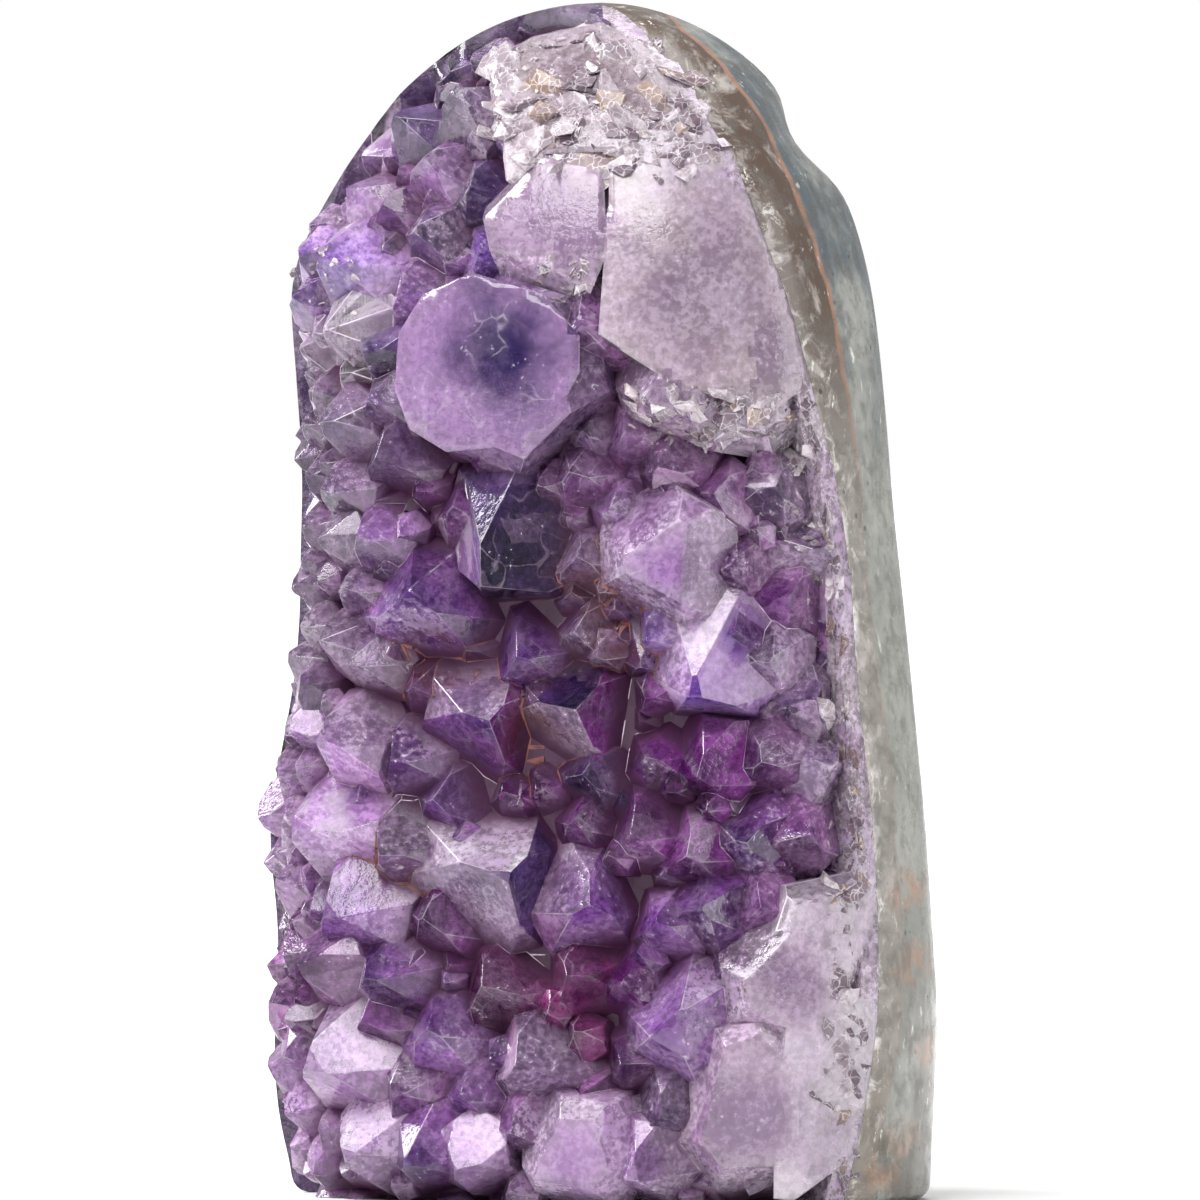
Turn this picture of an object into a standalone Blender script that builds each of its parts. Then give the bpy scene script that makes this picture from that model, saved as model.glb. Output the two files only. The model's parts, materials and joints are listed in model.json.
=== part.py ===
"""Amethyst geode standing on its flat cut base.

The stone is one natural piece of two kinds of material, each its own solid:
the rind of banded agate and basalt, ground smooth, and the druse of amethyst
crystals that grew together on its inner side. Lengths are in millimetres until
a mesh is written, then metres. +Z is up, the druse faces -Y, and the origin is
the middle of the bounding box on the cut base.
"""

import math
import random

import bmesh
import bpy
import numpy as np
from mathutils import Matrix, Vector

MM = 0.001

# Moves the stone so that its bounding box is centred on the origin
CENTRE_X = 0.70
CENTRE_Y = 0.33
SMOOTH_UP_TO = math.radians(35.0)

# The ground outer form
HEIGHT = 130.0
DOME_START = 80.0
DOME_SQUARENESS = (2.6, 1.9)
FRONT_EXPONENT = 2.8
BACK_EXPONENT = 2.25
LEFT_LOW = ((0, 35.4), (7, 37.4), (16, 38.2), (28, 37.6), (40, 39.2), (49, 37.0), (60, 35.2), (80, 34.8))
LEFT_HIGH = ((92, 36.4), (101, 38.4), (109, 36.0), (118, 34.6), (130, 34.6))
LEFT_WIDTHS = LEFT_LOW + LEFT_HIGH
RIGHT_WIDTHS = ((0, 36.4), (20, 37.3), (41, 35.8), (60, 33.8), (76, 32.0), (90, 31.0), (130, 31.0))
FRONT_DEPTHS = ((0, 24.0), (20, 25.5), (60, 25.5), (90, 25.0), (130, 25.0))
BACK_DEPTHS = ((0, 24.0), (20, 25.5), (60, 24.5), (90, 23.0), (130, 23.0))
BASE_ROUNDING = 1.8
TABLE_SOFTNESS = 4.0
SIDES = 40
LOW_LEVELS = (0, 0.7, 1.8, 9, 18, 28, 38, 48, 58, 68, 78)
DOME_LEVELS = (87, 95, 102, 108, 113, 117.5, 121, 124, 126.5, 128.5, 129.6)
LEVELS = LOW_LEVELS + DOME_LEVELS

# Soft hollows that the polishing left on the back and the right flank:
# direction round the stone in degrees, height, spread in degrees, spread in height, depth
HOLLOWS = (
    (22, 115.2, 26, 3.8, 3.2),
    (60, 88, 22, 16, 1.5),
    (112, 52, 26, 14, 1.8),
    (150, 96, 24, 13, 1.6),
    (88, 20, 20, 12, 1.2),
    (158, 34, 18, 14, 1.1),
)

# Hollows end this far round the front, by the sine of the direction
HOLLOW_LIMIT = -0.35

# The bed, where the druse meets the rind: its Y along the right and the left
# flank by height, and the depth of the dish between them
BED_RIGHT_LOW = ((0, -15.8), (5, -15.8), (11, -14.0), (21, -12.0), (32, -11.1), (76, -10.6), (87, -14.4))
BED_RIGHT_HIGH = ((98, -18.0), (109, -20.2), (114, -19.8), (120, -18.6), (124, -17.0), (128, -12.0))
BED_RIGHT = BED_RIGHT_LOW + BED_RIGHT_HIGH
BED_LEFT = ((0, 3.0), (90, 3.0), (110, 2.0), (122, 0.5), (128, -1.0))
BED_DISH = 7.0
BED_EASE = 2.0
BED_TOP = 127.0
BED_COLUMNS = np.linspace(-45.0, 45.0, 19)
BED_ROWS = (-10.0, *range(0, 131, 10), 140.0)
BEHIND = 60.0
GAP = 0.3

# The root that the crystals share: its depth under the ground form, and the
# layer of quartz on the bed that is ground flush at the edge
ROOT_INSET = 7.5
QUARTZ_LAYER = 3.2

# Lines of sight from the display side: where they start and end before and
# behind the middle, the step along them, and how often a hit is halved down
SIGHT_START = -45.0
SIGHT_END = 14.0
SIGHT_STEP = 0.5
HALVINGS = 18

# Finest sizes told apart: step for a slope, corners that are one, planes that never meet
SLOPE_STEP = 0.05
CORNER_MERGE = 0.02
PARALLEL = 1e-4
ON_PLANE = 1e-6
FLAT_WITHIN = math.radians(1.0)

# Crystals
PYRAMID_SLOPE = math.radians(51.8)
CRYSTAL_LENGTH = 21.0
VIEW_TURN = math.radians(20.0)
FACING = Vector((-0.20, -0.98, 0.0)).normalized()
NORMAL_SHARE = 0.5
SIDE_FACE_SPREAD = (0.88, 1.06)
WIDE_FACE_SPREAD = (-0.06, 0.05)
NARROW_FACE_SPREAD = (0.04, 0.22)

# Smaller crystals that fill the room between the listed ones
FILL_SEED = 41
FILL_TRIES = 3000
FILL_DIRECTIONS = (168.0, 368.0)
FILL_HEIGHTS = (-2.0, 128.5)
FILL_WIDTHS = (6.0, 9.5)
FILL_SHORT = (-4.0, -1.6)
FILL_LEAN = 0.25
FILL_SPACING = 0.33
FILL_FROM_BED = 3.5

# The crystals that show best, as seen from the display side, which is turned
# VIEW_TURN towards +X: tip's place right of the middle and above the base, width
# across flats, lean of the axis to the right and upwards, turn about the axis in
# degrees, and how far the tip stands past the ground form (it is cut off there)
# or short of it
CRYSTALS = (
    (-30.5, 102.5, 13.6, -0.30, 0.10, 10, 0.5),
    (-28.6, 110.2, 8.8, -0.40, 0.35, 40, -1.0),
    (-30.5, 94.5, 10.0, -0.35, -0.15, 22, -0.5),
    (-25.4, 109.0, 8.8, -0.15, 0.20, 15, -2.0),
    (-19.8, 113.8, 10.8, -0.10, 0.25, 0, -0.8),
    (-22.9, 118.0, 8.8, -0.30, 0.40, 30, -0.6),
    (-16.3, 120.4, 9.5, -0.20, 0.45, 12, 0.0),
    (-9.0, 120.2, 10.8, 0.0, 0.45, 48, 0.5),
    (-3.2, 121.6, 8.8, 0.15, 0.40, 20, -1.8),
    (-15.0, 110.4, 11.0, 0.05, 0.10, 35, -1.6),
    (-21.0, 105.4, 11.2, -0.10, 0.05, 5, -1.2),
    (-13.6, 103.9, 12.4, 0.05, 0.15, 50, -1.2),
    (-6.0, 107.5, 15.5, 0.10, 0.15, 18, 6.5),
    (-23.4, 98.0, 10.2, -0.10, -0.05, 28, -1.6),
    (-27.2, 91.8, 8.8, -0.20, -0.10, 55, -1.8),
    (-11.2, 90.4, 19.5, 0.0, 0.05, 8, 9.0),
    (7.4, 88.2, 14.8, 0.05, -0.10, 25, 2.6),
    (16.2, 86.0, 12.4, 0.20, -0.15, 47, 2.2),
    (-26.4, 86.8, 8.8, -0.15, 0.0, 20, -1.4),
    (-22.0, 86.6, 6.8, 0.0, 0.0, 44, -3.4),
    (-25.4, 80.6, 11.9, -0.10, -0.05, 14, -1.4),
    (-31.2, 84.4, 8.8, -0.45, 0.0, 33, -0.8),
    (-31.8, 77.4, 8.0, -0.50, 0.10, 8, -1.2),
    (-31.9, 71.6, 8.0, -0.45, -0.10, 52, -1.2),
    (-27.6, 72.4, 9.2, -0.15, 0.10, 25, -1.6),
    (-21.0, 65.6, 18.3, 0.12, 0.05, 22, 0.6),
    (-12.6, 67.2, 20.1, 0.05, -0.45, 32, 0.2),
    (-4.1, 79.4, 10.0, 0.05, 0.05, 40, -1.8),
    (-3.0, 84.4, 7.0, 0.05, 0.10, 10, -3.0),
    (-3.4, 70.6, 9.8, 0.10, 0.10, 32, -2.2),
    (-4.4, 62.4, 9.2, -0.05, 0.05, 4, -2.8),
    (-10.0, 60.0, 14.2, 0.10, 0.05, 46, -1.8),
    (6.4, 69.4, 16.5, 0.16, -0.10, 10, 3.4),
    (10.2, 55.6, 17.1, 0.10, -0.38, 38, 0.4),
    (20.0, 66.0, 12.0, 0.15, 0.05, 18, -0.6),
    (24.4, 71.2, 10.0, 0.35, 0.05, 50, 0.4),
    (18.8, 78.0, 11.2, 0.10, 0.10, 30, -0.8),
    (11.8, 77.4, 9.0, 0.05, 0.10, 6, -1.8),
    (5.6, 80.0, 10.0, 0.05, -0.05, 44, -1.6),
    (14.0, 69.4, 9.2, 0.10, 0.05, 24, -2.0),
    (18.0, 58.8, 10.5, 0.10, -0.10, 16, -1.0),
    (14.4, 62.8, 10.0, 0.10, 0.10, 40, -1.8),
    (23.4, 54.6, 11.8, 0.25, 0.0, 34, 0.2),
    (24.6, 47.4, 10.8, 0.30, 0.0, 8, 0.2),
    (16.8, 48.2, 11.5, 0.05, -0.10, 52, -1.4),
    (9.6, 46.6, 11.8, 0.0, -0.20, 20, -1.4),
    (-3.0, 53.6, 14.0, -0.02, 0.0, 3, -0.9),
    (-12.4, 52.4, 16.0, 0.08, -0.06, 3, -0.4),
    (-30.6, 50.8, 12.4, -0.35, 0.15, 12, 0.6),
    (-24.2, 48.2, 10.8, -0.10, 0.0, 36, -1.8),
    (-32.6, 40.4, 15.3, -0.40, 0.0, 24, 1.4),
    (-18.8, 43.6, 12.6, -0.02, 0.08, 2, -1.4),
    (-24.6, 37.8, 12.4, -0.10, -0.10, 43, -0.6),
    (-10.9, 35.6, 18.0, 0.02, 0.02, 3, -0.1),
    (-1.2, 33.2, 13.6, 0.05, 0.0, 50, -0.8),
    (-4.4, 42.0, 10.0, 0.05, 0.10, 15, -2.2),
    (-12.6, 45.0, 8.0, 0.0, 0.10, 38, -3.0),
    (-3.4, 46.8, 9.0, 0.05, 0.05, 5, -2.8),
    (2.4, 40.6, 10.8, 0.0, 0.0, 33, -2.0),
    (3.8, 48.8, 9.5, 0.05, 0.10, 48, -2.8),
    (-29.8, 31.6, 14.2, -0.20, -0.10, 16, 0.2),
    (-32.8, 25.6, 10.8, -0.45, -0.05, 53, 0.2),
    (-26.0, 24.8, 11.8, -0.10, 0.0, 30, -0.8),
    (-20.2, 31.0, 12.0, 0.0, 0.0, 9, -2.0),
    (-13.4, 23.6, 15.1, 0.0, 0.10, 41, -1.6),
    (-31.4, 14.8, 14.8, -0.35, -0.05, 3, 1.0),
    (-19.0, 19.0, 13.0, 0.05, 0.15, 26, -0.6),
    (-23.2, 11.2, 12.0, -0.05, -0.10, 49, -0.8),
    (-16.4, 11.4, 9.0, 0.0, -0.05, 14, -1.8),
    (-9.0, 15.6, 15.3, 0.0, 0.0, 35, -0.2),
    (-4.6, 25.2, 12.0, 0.05, 0.05, 57, -1.6),
    (-10.2, 7.4, 9.5, 0.0, -0.15, 21, -1.0),
    (-4.0, 10.6, 9.0, 0.0, -0.05, 7, -2.0),
    (-27.6, 5.0, 11.8, -0.25, -0.25, 45, 0.4),
    (-21.0, 4.2, 10.8, -0.05, -0.30, 31, 0.4),
    (-15.8, 4.0, 9.5, 0.0, -0.30, 55, 0.2),
    (-3.6, 4.6, 14.2, 0.0, -0.25, 17, 4.0),
    (-27.4, 19.8, 9.2, -0.15, 0.0, 11, -2.0),
    (19.9, 23.9, 15.3, 0.15, -0.05, 28, 5.0),
    (7.4, 19.0, 17.1, 0.05, -0.05, 6, 2.2),
    (16.4, 9.8, 19.5, 0.10, -0.15, 51, 6.5),
    (6.0, 10.0, 12.0, 0.05, -0.15, 37, -0.4),
    (3.4, 3.2, 10.5, 0.0, -0.30, 19, 0.6),
    (5.4, 30.6, 10.2, 0.05, 0.05, 42, -1.6),
    (10.4, 32.6, 11.5, 0.10, 0.05, 13, -0.8),
    (17.0, 32.6, 9.5, 0.10, 0.0, 56, -1.2),
    (25.2, 30.2, 12.4, 0.35, 0.0, 23, 5.0),
    (26.0, 15.4, 14.2, 0.35, -0.10, 39, 8.0),
    (16.0, 39.6, 11.2, 0.10, 0.0, 4, -1.0),
    (22.4, 40.6, 10.8, 0.25, 0.0, 47, 0.0),
    (8.8, 38.0, 11.2, 0.05, -0.05, 32, -1.4),
    (1.4, 23.8, 10.2, 0.0, 0.0, 10, -2.0),
    (1.2, 15.2, 8.8, 0.0, -0.05, 54, -2.6),
    (-17.2, 76.0, 8.8, 0.0, 0.20, 26, -2.0),
    (0.0, 75.6, 9.2, 0.05, 0.0, 18, -2.6),
    (1.6, 84.0, 10.5, 0.05, 0.10, 50, -2.0),
    (-28.4, 58.4, 9.5, -0.25, -0.05, 6, -1.6),
    (-31.8, 61.0, 8.2, -0.45, 0.10, 34, -1.4),
    (-22.2, 55.8, 9.2, 0.0, 0.0, 22, -3.2),
    (11.0, 100.5, 23.0, 0.20, 0.05, 15, 14.0),
    (17.6, 93.0, 14.0, 0.30, 0.0, 40, 9.0),
    (4.0, 116.5, 13.0, 0.20, 0.45, 28, 3.0),
    (9.0, 112.5, 11.8, 0.30, 0.35, 3, 4.5),
    (-2.5, 95.8, 11.2, 0.10, 0.0, 36, 1.0),
    (2.0, 107.0, 11.2, 0.10, 0.20, 12, 1.6),
)


def remove_everything():
    for obj in list(bpy.data.objects):
        bpy.data.objects.remove(obj, do_unlink=True)


def stone_material(name, colour, roughness):
    made = bpy.data.materials.new(name)
    made.use_nodes = True
    shader = made.node_tree.nodes["Principled BSDF"]
    shader.inputs["Base Color"].default_value = (*colour, 1.0)
    shader.inputs["Roughness"].default_value = roughness
    shader.inputs["Metallic"].default_value = 0.0
    return made


def along(table, at):
    """The table's value there, on straight runs with softened corners."""
    places, values = zip(*table)
    near = [np.interp(at + step * TABLE_SOFTNESS, places, values) for step in (-1, -0.5, 0, 0.5, 1)]
    return float(np.mean(near))


def dome(z, inset=0.0):
    """Share of the full width and depth that is left at this height."""
    if z <= DOME_START:
        return 1.0
    rise = min(1.0, (z - DOME_START) / (HEIGHT - inset - DOME_START))
    power, root = DOME_SQUARENESS
    return (1.0 - rise**power) ** (1.0 / root)


def base_share(z):
    """The rounded arris round the cut base."""
    if z >= BASE_ROUNDING:
        return 0.0
    return BASE_ROUNDING * (1.0 - math.sqrt(1.0 - (1.0 - z / BASE_ROUNDING) ** 2))


def half_sizes(z, inset=0.0):
    """Left, right, front and back half sizes of the ground form at this height."""
    z = min(HEIGHT, max(0.0, z))
    taken = base_share(z) + inset
    tables = (LEFT_WIDTHS, RIGHT_WIDTHS, FRONT_DEPTHS, BACK_DEPTHS)
    return [max(0.05, along(table, z) * dome(z, inset) - taken) for table in tables]


def hollow_depth(angle, z):
    """How far the soft hollows sink the surface in that direction, angle 0 at +X and 90 at +Y."""
    total = 0.0
    for at, height, spread, rise, depth in HOLLOWS:
        turn = (math.degrees(angle) - at + 180) % 360 - 180
        total += depth * math.exp(-((turn / spread) ** 2) - ((z - height) / rise) ** 2)
    return total


def outer_point(angle, z, inset=0.0):
    """Point of the ground form in that direction and at that height."""
    left, right, front, back = half_sizes(z, inset)
    c, s = math.cos(angle), math.sin(angle)
    half_x = right if c > 0 else left
    half_y = back if s > 0 else front
    power = 2.0 / (BACK_EXPONENT if s > 0 else FRONT_EXPONENT)
    x = math.copysign(half_x * abs(c) ** power, c)
    y = math.copysign(half_y * abs(s) ** power, s)
    sunk = hollow_depth(angle, z) if s > HOLLOW_LIMIT else 0.0
    length = math.hypot(x, y)
    keep = max(0.1, 1.0 - sunk / length) if length > 1e-6 else 1.0
    return Vector((x * keep, y * keep, z))


def inside_outer(point):
    """Below 0 inside the ground form, for points at the front."""
    left, right, front, back = half_sizes(point.z)
    half_x = right if point.x > 0 else left
    half_y = back if point.y > 0 else front
    power = BACK_EXPONENT if point.y > 0 else FRONT_EXPONENT
    return abs(point.x / half_x) ** power + abs(point.y / half_y) ** power - 1.0


def outer_normal(point):
    """Outward direction of the ground form at a point on it."""
    slopes = []
    for axis in range(3):
        ahead, behind = point.copy(), point.copy()
        ahead[axis] += SLOPE_STEP
        behind[axis] -= SLOPE_STEP
        slopes.append(inside_outer(ahead) - inside_outer(behind))
    return Vector(slopes).normalized()


def seen_point(across, up):
    """Where a line of sight from the display side meets the ground form, or None."""
    turn_cos, turn_sin = math.cos(VIEW_TURN), math.sin(VIEW_TURN)
    right = Vector((turn_cos, turn_sin, 0.0))
    ahead = Vector((-turn_sin, turn_cos, 0.0))
    start = right * across + Vector((0, 0, up))
    for here in np.arange(SIGHT_START, SIGHT_END, SIGHT_STEP):
        if inside_outer(start + ahead * float(here)) < 0:
            low, high = float(here) - SIGHT_STEP, float(here)
            for _ in range(HALVINGS):
                middle = (low + high) / 2
                if inside_outer(start + ahead * middle) < 0:
                    high = middle
                else:
                    low = middle
            return start + ahead * high
    return None


def bed_depth(x, z):
    """The Y of the bed, a dish between the left and the right flank."""
    z = min(BED_TOP, max(0.0, z))
    left, right, _, _ = half_sizes(z)
    share = min(1.0, max(0.0, (x + left) / (left + right)))
    eased = share**BED_EASE
    rim = along(BED_LEFT, z) * (1.0 - eased) + along(BED_RIGHT, z) * eased
    return rim + BED_DISH * dome(z) * (1.0 - (2.0 * share - 1.0) ** 2)


def mesh_object(name, vertices, faces):
    """An object from points in millimetres."""
    mesh = bpy.data.meshes.new(name)
    mesh.from_pydata([tuple(c * MM for c in v) for v in vertices], [], faces)
    mesh.update()
    made = bpy.data.objects.new(name, mesh)
    bpy.context.scene.collection.objects.link(made)
    return made


def outer_form(name, inset=0.0):
    """The ground form as a closed loft with a flat base."""
    vertices, faces = [], []
    shrink = (HEIGHT - inset - DOME_START) / (HEIGHT - DOME_START)
    for z in LOW_LEVELS + tuple(DOME_START + (z - DOME_START) * shrink for z in DOME_LEVELS):
        for side in range(SIDES):
            vertices.append(outer_point(2 * math.pi * side / SIDES, z, inset))
    for level in range(len(LEVELS) - 1):
        for side in range(SIDES):
            after = (side + 1) % SIDES
            low, high = level * SIDES, (level + 1) * SIDES
            faces.append((low + side, low + after, high + after, high + side))
    vertices.append(Vector((0.0, 0.0, HEIGHT - inset)))
    top, last = len(vertices) - 1, (len(LEVELS) - 1) * SIDES
    faces.append(tuple(reversed(range(SIDES))))
    for side in range(SIDES):
        faces.append((last + side, last + (side + 1) % SIDES, top))
    return mesh_object(name, vertices, faces)


def behind_bed(name, offset):
    """A closed block behind the bed, whose front face follows the bed moved back by offset."""
    xs, zs = BED_COLUMNS, BED_ROWS
    vertices, faces = [], []
    for front in (True, False):
        for z in zs:
            for x in xs:
                y = bed_depth(float(x), z) + offset if front else BEHIND
                vertices.append((float(x), y, z))
    across, count = len(xs), len(xs) * len(zs)

    def at(layer, row, column):
        return layer * count + row * across + column

    for row in range(len(zs) - 1):
        for column in range(across - 1):
            corners = [(row, column), (row, column + 1), (row + 1, column + 1), (row + 1, column)]
            for picked in (corners[:3], corners[2:] + corners[:1]):
                faces.append([at(0, *c) for c in picked])
                faces.append([at(1, *c) for c in reversed(picked)])
    rim = [(0, c) for c in range(across)] + [(r, across - 1) for r in range(1, len(zs))]
    rim += [(len(zs) - 1, c) for c in range(across - 2, -1, -1)]
    rim += [(r, 0) for r in range(len(zs) - 2, 0, -1)]
    for here, after in zip(rim, rim[1:] + rim[:1]):
        faces.append((at(0, *after), at(0, *here), at(1, *here), at(1, *after)))
    return mesh_object(name, vertices, faces)


def crystal_planes(width, length, spin, chance):
    """Outward normals and distances of a crystal's faces, its tip at the origin and pointing to +Z."""
    half = width / 2
    planes = []
    for side in range(6):
        turn = math.radians(spin + 60 * side)
        flat = Vector((math.cos(turn), math.sin(turn), 0.0))
        planes.append((flat, half * chance.uniform(*SIDE_FACE_SPREAD)))
        tip = flat * math.sin(PYRAMID_SLOPE) + Vector((0, 0, math.cos(PYRAMID_SLOPE)))
        spread = WIDE_FACE_SPREAD if side % 2 == 0 else NARROW_FACE_SPREAD
        planes.append((tip, half * chance.uniform(*spread)))
    planes.append((Vector((0, 0, -1)), length))
    return planes


def solid_from_planes(planes):
    """Corners of the convex solid that the planes bound."""
    normals = np.array([tuple(n) for n, _ in planes])
    offsets = np.array([d for _, d in planes])
    corners = []
    for i in range(len(planes)):
        for j in range(i + 1, len(planes)):
            for k in range(j + 1, len(planes)):
                rows = normals[[i, j, k]]
                if abs(np.linalg.det(rows)) < PARALLEL:
                    continue
                point = np.linalg.solve(rows, offsets[[i, j, k]])
                if (normals @ point <= offsets + ON_PLANE).all():
                    corners.append(point)
    return corners


def crystal_object(name, planes, place):
    """A crystal's closed mesh, the hull of its corners."""
    bm = bmesh.new()
    for corner in solid_from_planes(planes):
        bm.verts.new(tuple(c * MM for c in corner))
    bmesh.ops.remove_doubles(bm, verts=bm.verts, dist=CORNER_MERGE * MM)
    bmesh.ops.convex_hull(bm, input=bm.verts)
    bmesh.ops.dissolve_limit(bm, angle_limit=FLAT_WITHIN, verts=bm.verts, edges=bm.edges)
    bmesh.ops.recalc_face_normals(bm, faces=bm.faces)
    mesh = bpy.data.meshes.new(name)
    bm.to_mesh(mesh)
    bm.free()
    made = bpy.data.objects.new(name, mesh)
    made.matrix_world = place
    bpy.context.scene.collection.objects.link(made)
    return made


def crystal_axis(surface, lean_across, lean_up):
    """Direction that a crystal points in, between the form's outward one and the display side's."""
    right = Vector((math.cos(VIEW_TURN), math.sin(VIEW_TURN), 0.0))
    axis = outer_normal(surface) * NORMAL_SHARE + FACING * (1.0 - NORMAL_SHARE)
    return (axis + right * lean_across + Vector((0, 0, lean_up))).normalized()


def crystal_place(surface, axis, past):
    """Matrix in metres that stands a crystal with its tip past the surface along its axis."""
    turn = Vector((0, 0, 1)).rotation_difference(axis).to_matrix().to_4x4()
    return Matrix.Translation((surface + axis * past) * MM) @ turn


def main_crystals():
    """Place, width, spin, seed and spot on the ground form of each listed crystal."""
    found = []
    for number, (across, up, width, lean_across, lean_up, spin, past) in enumerate(CRYSTALS):
        surface = seen_point(across, up)
        if surface is None:
            raise ValueError(f"crystal {number} lies beside the stone")
        axis = crystal_axis(surface, lean_across, lean_up)
        found.append((crystal_place(surface, axis, past), width, spin, number, surface))
    return found


def fill_crystals(taken):
    """Smaller crystals scattered wherever the listed ones leave room."""
    chance = random.Random(FILL_SEED)
    spots = [(surface, width) for _, width, _, _, surface in taken]
    found = []
    for number in range(FILL_TRIES):
        surface = outer_point(math.radians(chance.uniform(*FILL_DIRECTIONS)), chance.uniform(*FILL_HEIGHTS))
        width = chance.uniform(*FILL_WIDTHS)
        if surface.y > bed_depth(surface.x, surface.z) - FILL_FROM_BED:
            continue
        if any((surface - at).length < FILL_SPACING * (width + other) for at, other in spots):
            continue
        spots.append((surface, width))
        lean_across = chance.uniform(-FILL_LEAN, FILL_LEAN)
        lean_up = chance.uniform(-FILL_LEAN, FILL_LEAN)
        axis = crystal_axis(surface, lean_across, lean_up)
        place = crystal_place(surface, axis, chance.uniform(*FILL_SHORT))
        found.append((place, width, chance.uniform(0, 60), len(CRYSTALS) + number, surface))
    return found


def add_boolean(target, operation, other):
    """A Boolean modifier, its other object hidden as a cutter."""
    cut = target.modifiers.new(operation.title(), "BOOLEAN")
    cut.operation = operation
    cut.solver = "MANIFOLD"
    cut.object = other
    other.hide_render = True
    other.display_type = "WIRE"
    return cut


def apply_modifiers(obj):
    """Bakes the modifiers in and removes the cutters, which are then of no more use."""
    graph = bpy.context.evaluated_depsgraph_get()
    graph.update()
    mesh = bpy.data.meshes.new_from_object(obj.evaluated_get(graph))
    cutters = [modifier.object for modifier in obj.modifiers if modifier.object]
    obj.modifiers.clear()
    obj.data = mesh
    for cutter in cutters:
        bpy.data.objects.remove(cutter, do_unlink=True)


def keep_largest(obj):
    """Drops the crumbs that a cut leaves at the rim, loose from the rest."""
    bm = bmesh.new()
    bm.from_mesh(obj.data)
    loose, groups = set(bm.verts), []
    while loose:
        group, edge_of_group = set(), [loose.pop()]
        while edge_of_group:
            vertex = edge_of_group.pop()
            group.add(vertex)
            near = {e.other_vert(vertex) for e in vertex.link_edges} & loose
            loose -= near
            edge_of_group.extend(near)
        groups.append(group)
    largest = max(groups, key=len)
    crumbs = [v for group in groups if group is not largest for v in group]
    bmesh.ops.delete(bm, geom=crumbs, context="VERTS")
    bm.to_mesh(obj.data)
    bm.free()


def join_crystals(obj):
    """Unites every crystal with the root."""
    group = bpy.data.collections.new("crystals")
    bpy.context.scene.collection.children.link(group)
    listed = main_crystals()
    for place, width, spin, seed, _ in listed + fill_crystals(listed):
        planes = crystal_planes(width, CRYSTAL_LENGTH, spin, random.Random(seed))
        crystal = crystal_object(f"crystal_{seed}", planes, place)
        bpy.context.scene.collection.objects.unlink(crystal)
        group.objects.link(crystal)
    union = obj.modifiers.new("Crystals", "BOOLEAN")
    union.operation = "UNION"
    union.operand_type = "COLLECTION"
    union.collection = group
    union.solver = "MANIFOLD"
    apply_modifiers(obj)
    for crystal in list(group.objects):
        bpy.data.objects.remove(crystal, do_unlink=True)
    bpy.data.collections.remove(group)


def make_rind():
    """The rind: the ground form behind the bed."""
    rind = outer_form("agate_rind")
    add_boolean(rind, "INTERSECT", behind_bed("rind_side", 0.0))
    apply_modifiers(rind)
    rind.data.materials.clear()
    rind.data.materials.append(stone_material("grey_agate", (0.43, 0.44, 0.42), 0.22))
    rind.data.shade_smooth()
    rind.data.set_sharp_from_angle(angle=SMOOTH_UP_TO)
    return rind


def make_druse():
    """The druse: crystals and their common root, cut off at the ground form, the bed and the base."""
    druse = outer_form("amethyst_druse", ROOT_INSET)
    join_crystals(druse)
    add_boolean(druse, "UNION", behind_bed("quartz_layer", -QUARTZ_LAYER))
    add_boolean(druse, "INTERSECT", outer_form("ground_form"))
    add_boolean(druse, "DIFFERENCE", behind_bed("druse_side", -GAP))
    apply_modifiers(druse)
    keep_largest(druse)
    druse.data.materials.clear()
    druse.data.materials.append(stone_material("amethyst", (0.36, 0.22, 0.52), 0.12))
    return druse


def main():
    remove_everything()
    for stone in (make_rind(), make_druse()):
        stone.data.transform(Matrix.Translation((CENTRE_X * MM, CENTRE_Y * MM, 0.0)))


main()
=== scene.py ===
"""Looks of the amethyst geode: a druse of see-through violet quartz crystals over
their dark hearts, in a rind of polished banded agate. The form is worked out in
millimetres in the same way as the solids, and each mesh is written in metres.
"""

import itertools
import json
import math
import random

import bmesh
import bpy
import numpy as np
from mathutils import Matrix, Vector, noise
from mathutils.bvhtree import BVHTree

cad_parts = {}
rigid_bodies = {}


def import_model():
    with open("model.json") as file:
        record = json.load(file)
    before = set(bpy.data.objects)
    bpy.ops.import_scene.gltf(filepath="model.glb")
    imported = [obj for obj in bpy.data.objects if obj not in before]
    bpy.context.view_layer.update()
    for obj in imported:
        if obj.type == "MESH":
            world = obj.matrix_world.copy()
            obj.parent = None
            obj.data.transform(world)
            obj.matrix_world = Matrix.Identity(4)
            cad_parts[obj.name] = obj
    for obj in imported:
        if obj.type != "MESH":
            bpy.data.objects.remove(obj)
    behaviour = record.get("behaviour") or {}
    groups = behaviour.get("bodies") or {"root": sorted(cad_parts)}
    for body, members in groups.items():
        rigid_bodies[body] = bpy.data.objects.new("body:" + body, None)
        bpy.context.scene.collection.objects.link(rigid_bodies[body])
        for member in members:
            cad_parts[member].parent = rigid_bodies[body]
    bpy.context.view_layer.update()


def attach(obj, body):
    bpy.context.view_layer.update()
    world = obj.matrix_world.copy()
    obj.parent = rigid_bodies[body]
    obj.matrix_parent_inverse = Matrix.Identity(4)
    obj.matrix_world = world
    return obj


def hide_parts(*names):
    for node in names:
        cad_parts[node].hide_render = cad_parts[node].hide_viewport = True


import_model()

MM = 0.001

# Moves the stone so that its bounding box is centred on the origin
CENTRE_X = 0.70
CENTRE_Y = 0.33

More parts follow.
